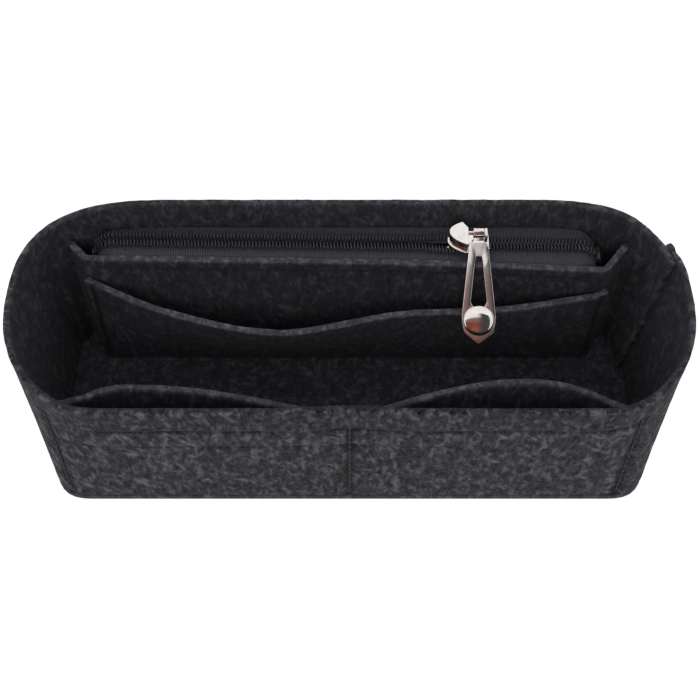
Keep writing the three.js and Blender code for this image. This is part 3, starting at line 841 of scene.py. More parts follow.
@dataclass(frozen=True)
class ThreadFinish:
    """Black polyester sewing thread with the glint of its twist."""

    name: str = "sewing_thread"
    shade: Colour = (0.010, 0.010, 0.011)
    light: Colour = (0.034, 0.034, 0.037)
    lay: Colour = (0.6, 0.7, 0.5)
    ply: float = 0.55
    roughness: float = 0.62
    bump: Pair = (0.08, 0.8)

    def make(self) -> Material:
        """Build the finish.

        Returns:
            The material.
        """
        mix = Recipe.of(self.name)
        twist = mix.add("ShaderNodeMapping", {"Vector": mix.place, "Rotation": self.lay})
        plies = mix.spread(mix.waves(mix.axis(0, twist.outputs[0]), self.ply), -1.0, 1.0)
        tone = mix.blend(plies, self.shade, self.light)
        mix.set(Base_Color=tone, Roughness=self.roughness)
        mix.raised(plies, *self.bump)
        return mix.owner


@dataclass
class Wardrobe:
    """Every finish, made once."""

    felt: Material = field(default_factory=FeltFinish().make)
    tape: Material = field(default_factory=TapeFinish().make)
    coil: Material = field(default_factory=NylonFinish().make)
    stop: Material = field(default_factory=NylonFinish("moulded_stop", roughness=0.3).make)
    nickel: Material = field(default_factory=NickelFinish().make)
    thread: Material = field(default_factory=ThreadFinish().make)


# The felt box


@dataclass(frozen=True)
class BoxPlan:
    """Plan of the felt box: a rounded foot that opens to a rim with bowed ends.

    A place round the plan counts quarters from the middle of the right end: 1 is the middle of
    the back.
    """

    height: float = 75.0
    rim_length: float = 249.0
    rim_depth: float = 93.0
    front_bow: Pair = (40.0, 2.25)
    back_bow: Pair = (57.0, 2.7)
    foot_length: float = 231.0
    foot_depth: float = 86.5
    foot_corner: float = 12.0
    felt: float = 2.5
    gap: float = 0.3
    lap_place: float = 16.0
    lap: float = 10.0
    lap_ease: float = 30.0
    belly: float = 3.0
    belly_held: float = 1.3
    belly_reach: Pair = (92.0, 30.0)
    belly_seam: float = 15.0
    belly_rise: float = 1.5
    nearby: float = 0.002
    rim_points: int = 2001
    foot_points: int = 200
    back_places: tuple[float, float, int] = (1.9, 0.1, 600)

    @staticmethod
    def by_share(line: Array) -> Array:
        """A quarter's points with the share of its length at each, as columns share, x, y."""
        along = lengths_along(line)
        return np.column_stack([along / along[-1], line])

    def rim_line(self, bow: Pair) -> Array:
        """A quarter of the rim, from the middle of an end to the middle of a side.

        Args:
            bow: How far in an end starts to bow, and its curve's power.

        Returns:
            Its points, as X and Y.
        """
        length, power = bow
        angle = np.linspace(0, math.pi / 2, self.rim_points)
        x = self.rim_length / 2 - length + length * np.abs(np.cos(angle)) ** (2 / power)
        y = self.rim_depth / 2 * np.sin(angle) ** (2 / power)
        return np.column_stack([np.append(x, 0), np.append(y, self.rim_depth / 2)])

    @cached_property
    def rim_front(self) -> Array:
        """Front quarter of the rim."""
        return self.by_share(self.rim_line(self.front_bow))

    @cached_property
    def rim_back(self) -> Array:
        """Back quarter of the rim."""
        return self.by_share(self.rim_line(self.back_bow))

    @cached_property
    def foot(self) -> Array:
        """A quarter of the foot."""
        angle = np.linspace(0, math.pi / 2, self.foot_points)
        x = self.foot_length / 2 - self.foot_corner * (1 - np.cos(angle))
        y = self.foot_depth / 2 - self.foot_corner * (1 - np.sin(angle))
        ends = (np.array([[self.foot_length / 2, 0]]), np.array([[0, self.foot_depth / 2]]))
        return self.by_share(np.vstack([ends[0], np.column_stack([x, y]), ends[1]]))

    @cached_property
    def quarter_length(self) -> float:
        """Length of a back quarter of the rim."""
        return lengths_along(self.rim_line(self.back_bow))[-1]

    def place_of(self, length: float | Array) -> float | Array:
        """A length along the wall as a share of a quarter."""
        return length / self.quarter_length

    @property
    def lap_start(self) -> float:
        """Place where the strip's inner end begins."""
        return self.place_of(self.lap_place)

    @property
    def lap_end(self) -> float:
        """Place where the strip's outer end stops, one turn on."""
        return self.place_of(self.lap_place + self.lap)

    def plan(self, place: Array, level: Array) -> Array:
        """Points on the wall's outer face.

        Args:
            place: Places round the plan.
            level: Heights as shares of the rim's height.

        Returns:
            X and Y, in the last axis.
        """
        turn = np.mod(place, 4)
        leg = np.floor(turn)
        share = np.where(leg % 2 == 0, turn - leg, 1 - turn + leg)
        back, front, foot = (
            [np.interp(share, line[:, 0], line[:, k]) for k in (1, 2)]
            for line in (self.rim_back, self.rim_front, self.foot)
        )
        x, y = (between((foot[k], np.where(leg < 2, back[k], front[k])), level) for k in (0, 1))
        bowed = self.belly * bell((x - self.belly_reach[0]) / self.belly_reach[1])
        bowed -= self.belly_held * dip(x, self.belly_seam)
        y = np.where(leg < 2, y, -y - bowed * np.clip(level, 0, None) ** self.belly_rise)
        return np.stack([np.where((leg == 0) | (leg == 3), x, -x), y], axis=-1)

    def lap_shift(self, place: Array) -> Array:
        """How far the strip's inner layer steps in beside the lap.

        Args:
            place: Places round the plan.

        Returns:
            The steps.
        """
        past = place - self.lap_end - self.place_of(self.gap)
        eased = bell(past / self.place_of(self.lap_ease))
        return np.where(place >= 2, 0, (self.felt + self.gap) * eased)

    def wall(self, place: Array | float, z: Array | float, inset: Array | float) -> Array:
        """Points set in from the wall's outer face.

        Args:
            place: Places round the plan.
            z: Heights.
            inset: Distances in from the outer face.

        Returns:
            X, Y and Z, in the last axis.
        """
        place, z, inset = np.broadcast_arrays(np.asarray(place, float), z, inset)
        level = z / self.height
        along = self.plan(place + self.nearby, level) - self.plan(place - self.nearby, level)
        along /= np.linalg.norm(along, axis=-1, keepdims=True)
        inward = np.stack([-along[..., 1], along[..., 0]], axis=-1)
        flat = self.plan(place, level) + inward * (inset + self.lap_shift(place))[..., None]
        return np.concatenate([flat, z[..., None]], axis=-1)

    def back_face(self, x: Array, z: float) -> Array:
        """Y of the back wall's inner face at some X and one height."""
        line = self.wall(np.linspace(*self.back_places), z, self.felt)
        return np.interp(x, line[:, 0], line[:, 1])


@dataclass(frozen=True)
class Crease:
    """A level line pressed into a panel, between two ends where it fades out."""

    level: float
    depth: float
    width: float
    middle: float = 0.0
    reach: Pair = (math.inf, 1.0)

    def dent(self, x: Array, z: Array) -> Array:
        """How deep it is at some places."""
        fading = bell((np.abs(x - self.middle) - self.reach[0]) / self.reach[1])
        return self.depth * dip(z - self.level, self.width) * fading


@dataclass(frozen=True)
class FeltPanel:
    """How any panel is made: a grid laid on its middle surface, thickened and softened."""

    material: Material
    slot: Slot = Slot.FELT
    thickness: float = 2.5
    edge: float = 0.55
    edge_segments: int = 3
    edge_angle: float = 50.0
    lump: float = 0.16
    lump_size: float = 9.0
    fray: float = 0.06
    fray_size: float = 3.2
    fuzz: float = 0.1
    fuzz_size: float = 2.2
    # a point moved in this far gets the full painted shade
    pressed: float = 0.6
    cut_reach: float = 0.74
    cut_ease: float = 0.2
    shading: float = 60.0
    seed_step: float = 0.37
    fray_seed: float = 5.0
    fuzz_seed: float = 9.0

    @staticmethod
    def laid_grid(name: str, surface: Array) -> Piece:
        """A grid primitive with its points moved onto a surface.

        Args:
            name: The piece's name.
            surface: Points by row and column, in millimetres.

        Returns:
            The piece.
        """
        rows, columns = surface.shape[:2]
        piece = start_with(
            name, bpy.ops.mesh.primitive_grid_add, x_subdivisions=columns - 1,
            y_subdivisions=rows - 1, size=1,
        )
        unit = points_of(piece) * MM
        i = np.rint((unit[:, 0] + 0.5) * (columns - 1)).astype(int)
        j = np.rint((unit[:, 1] + 0.5) * (rows - 1)).astype(int)
        put_points(piece, surface[j, i])
        return piece

    def soften(self, piece: Piece) -> None:
        """Round a panel's cut edges."""
        round_edges(piece, self.edge, self.edge_segments, self.edge_angle)

    def make(
        self, name: str, surface: Array, relief: Relief | None = None, edge_light: float = 1.0,
        rim: Array | None = None,
    ) -> Piece:
        """Make a panel.

        Args:
            name: The piece's name.
            surface: Points of the middle surface by row and column.
            relief: Creases and stitch lines pressed into the faces.
            edge_light: How much painted highlight its cut edges get.
            rim: Points along the edges that show loose fibre and the painted highlight, or none for
                all of them.

        Returns:
            The piece.
        """
        piece = self.laid_grid(name, surface)
        finish_with(
            piece, "SOLIDIFY", thickness=self.thickness * MM, offset=0.0, use_even_offset=False
        )
        face_outwards(piece)
        self.soften(piece)
        if relief:
            # painted shade in the creases and seam grooves that the relief sinks
            self.mark_painted_shade(piece, push(piece, relief))
        seed = self.seed_step * len(name)

        def lumps(points: Array, _: Array) -> Array:
            """The panel's unevenness."""
            large = self.lump * unevenness(points, self.lump_size, seed)
            return large + self.fray * unevenness(points, self.fray_size, seed + self.fray_seed)

        push(piece, lumps)
        smooth(piece, self.shading)
        if rim is None:
            rim = np.concatenate([surface[0], surface[-1], surface[:, 0], surface[:, -1]])
        near = self.mark_edge_light(piece, rim, edge_light)

        def fuzz(points: Array, _: Array) -> Array:
            """The loose fibre at its cut edges."""
            loose_fibre = unevenness(points, self.fuzz_size, seed + self.fuzz_seed)
            return self.fuzz * near * loose_fibre

        push(piece, fuzz)
        return piece

    def mark_painted_shade(self, piece: Piece, moved: Array) -> None:
        """Store the painted shade in creases and seam grooves, from how far its points were moved
        inwards.
        """
        store(piece, "pressed", np.clip(-moved / self.pressed, 0, 1))

    def mark_edge_light(self, piece: Piece, rim: Array, edge_light: float = 1.0) -> Array:
        """Store how near a cut edge is, where the felt gets a painted highlight as if the edge
        caught the light.

        Args:
            piece: The panel.
            rim: Points along the middle of its cut edges.
            edge_light: How much painted highlight the edge gets.

        Returns:
            How near each vertex is, from 0 to 1 at the edge.
        """
        tree = KDTree(len(rim))
        for number, point in enumerate(rim):
            tree.insert(point, number)
        tree.balance()
        away = np.array([tree.find(point)[2] for point in points_of(piece)])
        reach, ease = self.cut_reach * self.thickness, self.cut_ease * self.thickness
        near = np.clip((reach - away) / ease, 0, 1)
        # painted highlight along the cut edges
        store(piece, "edge", edge_light * near)
        return near

    def hand_in(
        self, piece: Piece, surface: Array, node: str, held: str, rests_on: str
    ) -> None:
        """Args:
            piece: The finished panel.
            surface: Points of its middle surface.
            node: Name of the solid that it replaces.
            held: How it is held; not used.
            rests_on: What it lies on or hangs from; not used.
        """
        dress(piece, self.material, node)
        along, across = surface[:, 1:] - surface[:, :-1], surface[1:] - surface[:-1]
        width = np.linalg.norm(along, axis=-1).sum(axis=1).max()
        length = np.linalg.norm(across, axis=-1).sum(axis=0).max()
        area = np.linalg.norm(np.cross(along[:-1], across[:, :-1]), axis=-1).sum()
        area = min(area, width * length)
        log.info("%s: cut %.0f x %.0f mm", piece.name, width, length)


@dataclass
class FeltBox:
    """The floor and the lapped wall."""

    plan: BoxPlan
    panel: FeltPanel
    columns: int = 560
    spans: tuple[tuple[float, float, int], ...] = (
        (2.5, 6, 5), (6, 46, 13), (46, 49.5, 7), (49.5, 57.5, 5), (57.5, 63, 11), (63, 75, 9),
    )
    seam_reach: Pair = (108.0, 103.0)
    seam_top: float = 63.6
    seam_depth: float = 0.65
    seam_width: float = 1.9
    crease: Crease = Crease(60.2, 0.6, 1.2, reach=(92.0, 18.0))
    crease_breaks: float = 16.0
    crease_wave: Pair = (0.9, 30.0)
    second_crease: Crease = Crease(47.6, 0.45, 1.2, -30.0, (50.0, 50.0))
    foot_crease: Crease = Crease(2.5, 0.42, 2.0)
    zip_seam: Crease = Crease(58.6, 0.4, 1.0, reach=(88.0, 8.0))
    facing: float = 0.4
    beyond: float = 20.0
    # painted shade added to the band over the front's crease
    band_shade: float = 0.4
    band_shade_ease: float = 2.0
    # share of the painted highlight on the wall's cut edges
    wall_edge_light: float = 0.4
    # painted shade over the whole floor, inside the walls
    floor_shade: float = 0.42
    floor_points: int = 200
    corner_points: int = 40
    seam_points: int = 40
    crease_held: Pair = (0.72, 0.7)
    crease_limits: Pair = (0.25, 1.25)
    crease_seeds: Pair = (2.6, 4.1)

    def seam_places(self) -> dict[str, float]:
        """Places of the three seams that hold the front pockets, and of the lap's seam.

        Returns:
            The places by name.
        """
        left, right = (self.plan.place_of(reach) for reach in self.seam_reach)
        lap = 4 + (self.plan.lap_start + self.plan.lap_end) / 2
        return {"middle": 3.0, "left": 3 - left, "right": 3 + right, "lap": lap}

    def wall_relief(self, points: Array, normals: Array) -> Array:
        """The pressed creases and the stitch lines on the wall's outer face.

        Args:
            points: The panel's points.
            normals: Their normals.

        Returns:
            How far each point moves outwards.
        """
        x, y, z = points.T
        outer = (points[:, :2] * normals[:, :2]).sum(axis=1) > 0
        front = outer & (normals[:, 1] < -self.facing) & (y < -self.beyond)
        back = outer & (normals[:, 1] > self.facing) & (y > self.beyond)
        held, uneven = self.crease_held
        broken = held + uneven * unevenness(points, self.crease_breaks, self.crease_seeds[0])
        broken = np.clip(broken, *self.crease_limits)
        height, length = self.crease_wave
        wave = height * unevenness(points * (1, 0, 0), length, self.crease_seeds[1])
        creased = self.crease.dent(x, z - wave) + self.second_crease.dent(x, z)
        deep = front * broken * creased + outer * self.foot_crease.dent(x, z)
        deep += back * self.zip_seam.dent(x, z)
        for name, place in self.seam_places().items():
            line = self.plan.wall(place, np.linspace(0, self.plan.height, self.seam_points), 0.0)
            seam_x, seam_y = (np.interp(z, line[:, 2], line[:, k]) for k in (0, 1))
            high = self.plan.height if name == "lap" else self.seam_top
            sunk = dip(np.hypot(x - seam_x, y - seam_y), self.seam_width)
            deep += outer * (z < high) * self.seam_depth * sunk
        return -deep

    @staticmethod
    def mark_unshaded(piece: Piece) -> None:
        """Store which vertices of the wall are on the outer face; every other felt face gets
        painted shade.
        """
        outward = points_of(piece)[:, :2] * points_of(piece, "normal")[:, :2]
        store(piece, "nap", (outward.sum(axis=1) > 0).astype(float))

    def mark_band_shade(self, piece: Piece) -> None:
        """Darken the band between the front's crease and the rim with painted shade.

        Args:
            piece: The wall.
        """
        held = piece.data.attributes["pressed"].data
        share = np.empty(len(held))
        held.foreach_get("value", share)
        _, y, z = points_of(piece).T
        # painted shade over the front's crease, easing in above it
        over = np.clip((z - self.crease.level) / self.band_shade_ease, 0, 1) * (y < -self.beyond)
        held.foreach_set("value", np.clip(share + self.band_shade * over, 0, 1))

    def build_wall(self) -> None:
        """Make the wall: one strip of felt round the floor, its ends lapped at the right rear."""
        heights = np.unique(np.concatenate([np.linspace(*span) for span in self.spans]))
        places = np.linspace(self.plan.lap_start, 4 + self.plan.lap_end, self.columns)
        surface = self.plan.wall(places[None, :], heights[:, None], self.plan.felt / 2)
        piece = self.panel.make("felt_wall", surface, self.wall_relief, self.wall_edge_light)
        self.mark_unshaded(piece)
        self.mark_band_shade(piece)
        self.panel.hand_in(piece, surface, "wall_band", "stretched", "felt_floor")

    def build_floor(self) -> None:
        """Make the floor: a round-cornered panel under the wall."""
        quarter = evenly(self.plan.foot[:, 1:], self.corner_points)[:-1]
        turns = ((1, 1, 1), (-1, -1, 1), (1, -1, -1), (-1, 1, -1))
        outline = np.vstack([quarter[::step] * (sx, sy) for step, sx, sy in turns])
        outline = evenly(np.vstack([outline, outline[:1]]), self.floor_points + 1)[:-1]
        piece = prism("felt_floor", outline, 0.0, self.plan.felt)
        self.panel.soften(piece)
        smooth(piece, self.panel.shading)
        middle = np.full(len(outline), self.plan.felt / 2)
        self.panel.mark_edge_light(piece, np.column_stack([outline, middle]))
        # painted shade: the whole floor is darkened, as the walls shade it
        worn = np.full(len(piece.data.vertices), -self.floor_shade * self.panel.pressed)
        self.panel.mark_painted_shade(piece, worn)
        dress(piece, self.panel.material, "base_panel")
        size = (self.plan.foot_length, self.plan.foot_depth)
        size = (size[0] * MM, size[1] * MM)


@dataclass
class FrontPockets:
    """The felt panel inside the front wall, sewn at its ends and its middle."""

    plan: BoxPlan
    panel: FeltPanel
    foot: float = 2.6
    top: float = 61.5
    reach: Pair = (112.0, 107.0)
    bulge: Pair = (14.6, 17.0)
    peak: Pair = (0.71, 0.60)
    ease: float = 1.2
    seams: Colour = (-103.0, 0.0, 99.0)
    seam_depth: float = 0.6
    seam_width: float = 1.6
    seam_foot: float = 6.0
    grid: tuple[int, int] = (231, 24)
    facing: float = 0.3

    def surface(self, share: Array, z: Array, depth: float) -> Array:
        """Points of the panel.

        Args:
            share: Places along it, from -1 at the left seam to 1 at the right one.
            z: Heights.
            depth: Distance in from its face against the wall.

        Returns:
            X, Y and Z, in the last axis.
        """
        peak, bulge, reach = (
            np.where(share < 0, *pair) for pair in (self.peak, self.bulge, self.reach)
        )
        along = np.abs(share)
        lobe = np.where(
            along < peak,
            np.sin(math.pi / 2 * along / peak),
            np.cos(math.pi / 2 * (along - peak) / (1 - peak)),
        )
        rise = np.clip((z - self.foot) / (self.top - self.foot), 0, 1) ** self.ease
        inset = self.plan.felt + CLEAR + depth + bulge * lobe * rise
        return self.plan.wall(3 + share * self.plan.place_of(reach), z, inset)

    def relief(self, points: Array, normals: Array) -> Array:
        """The dents of the stitch lines at the middle and the ends.

        Args:
            points: The panel's points.
            normals: Their normals.

        Returns:
            How far each point moves outwards.
        """
        x, _, z = points.T
        left, middle, right = (dip(x - seam, self.seam_width) for seam in self.seams)
        inner = normals[:, 1] > self.facing
        return -self.seam_depth * inner * (middle + left + right) * (z > self.seam_foot)

    def build(self) -> None:
        """Make the panel."""
        columns, rows = self.grid
        heights = np.linspace(self.foot, self.top, rows)
        share, z = np.meshgrid(np.linspace(-1, 1, columns), heights)
        surface = self.surface(share, z, self.plan.felt / 2)
        piece = self.panel.make("felt_front_pockets", surface, self.relief)
        self.panel.hand_in(piece, surface, "front_pocket_panel", "stretched", "felt_wall")


@dataclass(frozen=True)
class ZipLine:
    """Where the zip lies: at the pouch's mouth, slanting away from the back wall to the right."""

    plan: BoxPlan
    pouch_top: float = 63.6
    below_felt: float = 1.0
    left: float = -101.0
    right: float = 97.0
    back_left: float = 7.3
    back_right: float = 11.0
    chain: float = 6.0
    tape: float = 0.6
    tape_shown: float = 5.5
    tape_clear: Pair = (2.8, 1.6)
    slider_place: float = 46.0
    seam_drop: float = 5.0
    curl: float = 8.0

    @property
    def z(self) -> float:
        """Height of the tapes."""
        return self.pouch_top - self.below_felt

    @property
    def seam_z(self) -> float:
        """Height of the seams that hold the tapes."""
        return self.pouch_top - self.seam_drop

    @cached_property
    def ends(self) -> Pair:
        """Y of the chain's middle at the pouch's left and right corners."""
        wall = float(self.plan.back_face(np.array([0.0]), self.z)[0])
        return wall - self.back_left, wall - self.back_right

    @property
    def slope(self) -> float:
        """Rise of Y along X."""
        return (self.ends[1] - self.ends[0]) / (self.right - self.left)

    def chain_y(self, x: Array) -> Array:
        """Y of the chain's middle at some X."""
        return self.ends[0] + (x - self.left) * self.slope

    @property
    def middle(self) -> float:
        """Y of the chain's middle halfway along the insert."""
        return float(self.chain_y(np.array(0.0)))

    @property
    def matrix(self) -> Matrix:
        """Turns the zip's own drawing into its place."""
        turn = Matrix.Rotation(math.atan(self.slope), 4, "Z")
        return Matrix.Translation((0, self.middle, self.z)) @ turn

    @property
    def slider_matrix(self) -> Matrix:
        """Turns the slider's own drawing into its place at rest."""
        return self.matrix @ Matrix.Translation((self.slider_place, 0, 0))

    @property
    def tape_ends(self) -> Pair:
        """X of the tapes' ends, inside the pouch's corners."""
        return self.left + self.tape_clear[0], self.right - self.tape_clear[1]

    @property
    def straight(self) -> Pair:
        """X between which the chain lies straight."""
        return self.tape_ends[0] + self.curl, self.tape_ends[1] - self.curl

    def laid(self, points: Array) -> Array:
        """Lay points drawn on a straight zip in their place, its ends curled down into the pouch.

        Args:
            points: X along the chain, Y across it and Z above the tapes, in the last axis.

        Returns:
            The points in the part's frame.
        """
        along, across, up = np.moveaxis(points, -1, 0)
        start = np.clip(along, *self.straight)
        past = along - start
        angle = np.minimum(np.abs(past) / self.curl, math.pi / 2)
        hanging = np.maximum(np.abs(past) - self.curl * math.pi / 2, 0)
        x = start + np.sign(past) * (self.curl + up) * np.sin(angle)
        z = (self.curl + up) * np.cos(angle) - self.curl - hanging
        turn = math.atan(self.slope)
        placed = (
            x * math.cos(turn) - across * math.sin(turn),
            self.middle + x * math.sin(turn) + across * math.cos(turn),
            self.z + z,
        )
        return np.stack(placed, axis=-1)


@dataclass
class Pouch:
    """The zip pouch's felt front and the slip pocket before it."""

    plan: BoxPlan
    zip: ZipLine
    panel: FeltPanel
    foot: float = 2.6
    foot_depth: float = 16.4
    bow: tuple[Pair, ...] = ((0, 0.6), (0.3, 0.8), (0.6, 0.8), (0.8, 0), (1, -1.5))
    bend: float = 3.0
    flange: float = 12.0
    flange_place: float = 30.0
    fine_from: float = 53.0
    columns: int = 300
    zip_seam: Crease = Crease(58.6, 0.35, 1.0, -2.0, (88.0, 8.0))
    slip_drop: Pair = (9.8, 12.6)
    slip_reach: Pair = (0.8, 2.8)
    slip_turn: float = 6.0
    slip_seam: float = 2.0
    slip_seam_depth: float = 0.6
    slip_seam_width: float = 1.5
    slip_seam_foot: float = 6.0
    slip_bulge: tuple[Pair, ...] = (
        (0, 0), (0.15, 13), (0.37, 20.5), (0.6, 12.5), (0.8, 9), (1, 0),
    )
    slip_grid: tuple[int, int] = (221, 26)
    front_facing: float = 0.4
    slip_facing: float = 0.3
    bow_points: int = 300
    slip_points: int = 601
    flange_points: int = 9
    front_points: int = 41
    front_rows: tuple[int, int] = (12, 10)
    bend_steps: int = 6

    def front_y(self, x: Array, z: Array) -> Array:
        """Y of the front's middle surface.

        Args:
            x: Places along the pouch.
            z: Heights.

        Returns:
            One Y for each.
        """
        share = (x - self.zip.left) / (self.zip.right - self.zip.left)
        line = smooth_curve(self.bow, self.bow_points)
        stand_off = self.zip.chain / 2 + self.zip.tape_shown + self.plan.felt / 2
        top = self.zip.chain_y(x) - stand_off + np.interp(share, line[:, 0], line[:, 1])
        foot = self.plan.foot_depth / 2 - self.plan.felt / 2 - self.foot_depth
        return foot + (top - foot) * (z - self.foot) / (self.zip.pouch_top - self.foot)

    def row(self, z: float) -> Array:
        """The front's line at one height, from the left flange round to the right one.

        Args:
            z: The height.

        Returns:
            Its points.
        """
        lengths = self.flange_place + np.linspace(0, self.flange, self.flange_points)
        inset = 1.5 * self.plan.felt + CLEAR
        left = self.plan.wall(2 - self.plan.place_of(lengths), z, inset)
        right = self.plan.wall(self.plan.place_of(lengths), z, inset)[::-1]
        x = np.linspace(self.zip.left, self.zip.right, self.front_points)
        front = np.column_stack([x, self.front_y(x, z), np.full_like(x, z)])
        first, last = len(left), len(left) + len(front) - 1
        side = np.linspace(left[-1], front[0], 3)[1:-1]
        other = np.linspace(front[-1], right[0], 3)[1:-1]
        points = np.vstack([left, side, front, other, right])
        corners = (first - 1, first + 1, last + 1, last + 3)
        return evenly(rounded(points, corners, self.bend, self.bend_steps), self.columns)

    def front_relief(self, points: Array, normals: Array) -> Array:
        """The dent of the zip's seam."""
        x, _, z = points.T
        return -self.zip_seam.dent(x, z) * (normals[:, 1] < -self.front_facing)

    def build_front(self) -> None:
        """Make the pouch's front, with an end turned back to the wall at each side."""
        low, high = self.front_rows
        spans = ((self.foot, self.fine_from, low), (self.fine_from, self.zip.pouch_top, high))
        heights = np.unique(np.concatenate([np.linspace(*span) for span in spans]))
        surface = np.stack([self.row(z) for z in heights])
        away = lengths_along(surface[-1])
        seen = np.minimum(away, away[-1] - away) > self.flange
        rim = surface[-1][seen]
        piece = self.panel.make("felt_pouch_front", surface, self.front_relief, rim=rim)
        self.panel.hand_in(piece, surface, "pouch_front_panel", "folded", "felt_wall")

    @property
    def slip_ends(self) -> Pair:
        """X of the slip pocket's ends, which turn a little round the pouch's corners."""
        return self.zip.left - self.slip_reach[0], self.zip.right + self.slip_reach[1]

    def slip(self, t: Array, rise: Array, depth: float) -> Array:
        """Points of the slip pocket.

        Args:
            t: Places along its bulge's curve, from 0 to 1.
            rise: Shares of its height.
            depth: Distance forward from its face against the pouch.

        Returns:
            X, Y and Z, in the last axis.
        """
        curve = smooth_curve(self.slip_bulge, self.slip_points)
        steps = np.linspace(0, 1, len(curve))
        share, bulge = (np.interp(t, steps, curve[:, k]) for k in (0, 1))
        x = between(self.slip_ends, share)
        cut = self.zip.pouch_top - self.foot - between(self.slip_drop, share)
        z = self.foot + rise * np.sqrt(cut**2 - bulge**2)
        y = self.front_y(x, z) - self.plan.felt / 2 - CLEAR - depth - rise * bulge
        past = np.maximum(x - self.zip.right, self.zip.left - x) + self.slip_seam
        return np.stack([x, y + np.maximum(past, 0) ** 2 / (2 * self.slip_turn), z], axis=-1)

    def slip_relief(self, points: Array, normals: Array) -> Array:
        """The dents of the seams at the ends.

        Args:
            points: The panel's points.
            normals: Their normals.

        Returns:
            How far each point moves outwards.
        """
        x, _, z = points.T
        front = normals[:, 1] < -self.slip_facing
        left, right = self.slip_ends
        seams = dip(x - left - self.slip_seam, self.slip_seam_width)
        seams += dip(x - right + self.slip_seam, self.slip_seam_width)
        return -self.slip_seam_depth * front * seams * (z > self.slip_seam_foot)

    def build_slip(self) -> None:
        """Make the slip pocket, its open top edge bulging forward."""
        t, rise = np.meshgrid(*(np.linspace(0, 1, count) for count in self.slip_grid))
        surface = self.slip(t, rise, self.plan.felt / 2)
        piece = self.panel.make("felt_slip_pocket", surface, self.slip_relief, rim=surface[-1])
        self.panel.hand_in(piece, surface, "slip_pocket_panel", "stretched", "felt_pouch_front")


# The zip


@dataclass
class ZipTapes:
    """The two woven tapes: level beside the coil, then turned down against the felt."""

    material: Material
    plan: BoxPlan
    zip: ZipLine
    pouch: Pouch
    inner_edge: float = 1.2
    turned: float = 9.0
    bend: float = 1.2
    tail: float = 5.3
    narrowing: float = 0.22
    gathered: float = 0.78
    gathered_length: float = 14.0
    columns: int = 260
    drops: int = 7
    level_rows: int = 6
    bend_rows: int = 6

    def felt_face(self, side: Side, x: Array, z: float) -> Array:
        """Y of the felt that a tape is sewn against.

        Args:
            side: The tape's side.
            x: Places along it.
            z: The height.

        Returns:
            One Y for each place.
        """
        if side is Side.REAR:
            return self.plan.back_face(x, z)
        return self.pouch.front_y(x, z) + self.plan.felt / 2

    def surface(self, side: Side) -> Array:
        """Points of a tape's middle surface, by row from its inner edge and by column.

        Args:
            side: The tape's side.

        Returns:
            X, Y and Z, in the last axis.
        """
        sign, (low, high), (left, right) = side.value, self.zip.tape_ends, self.zip.straight
        along = np.linspace(low - self.tail, high + self.tail, self.columns)
        start = np.clip(along, left, right)
        past = np.clip(np.abs(along - start) / self.zip.curl, 0, 1)
        narrow = 1 - self.narrowing * past
        near = np.minimum(start - left, right - start)
        sewn = 1 - self.gathered * bell(near / self.gathered_length)
        middle, off = self.zip.chain_y(start), CLEAR + self.zip.tape / 2
        drops = np.linspace(self.bend, self.turned, self.drops)
        reach = [
            sign * (self.felt_face(side, start, self.zip.z - drop) - middle) - off for drop in drops
        ]
        level = reach[0] - self.bend

        def line(across: Array, up: Array | float) -> Array:
            """A row of points at a distance from the chain's middle and a height."""
            return np.column_stack([along, sign * across * narrow, up * np.ones_like(along)])

        wide = level - self.inner_edge
        shares = np.linspace(0, 1, self.level_rows)
        rows = [line(self.inner_edge + wide * share, 0.0) for share in shares]
        for turn in np.linspace(0, math.pi / 2, self.bend_rows)[1:]:
            rows.append(line(level + self.bend * math.sin(turn), -self.bend * (1 - math.cos(turn))))
        for across, drop in zip(reach[1:], drops[1:]):
            rows.append(line(across, -self.bend - (drop - self.bend) * sewn))
        return self.zip.laid(np.stack(rows))

    def build(self, side: Side) -> None:
        """Make one tape.

        Args:
            side: The zip's side.
        """
        weave = FeltPanel(
            self.material, Slot.TAPE, self.zip.tape, edge=0.12, lump=0.05, lump_size=7.0,
            fray=0.03, fray_size=2.2,
        )
        surface = self.surface(side)
        name = side.name.lower()
        piece = weave.make(f"tape_{name}", surface)
        rests_on = "felt_wall" if side is Side.REAR else "felt_pouch_front"
        weave.hand_in(piece, surface, f"zip_tape_{name}", "folded", rests_on)


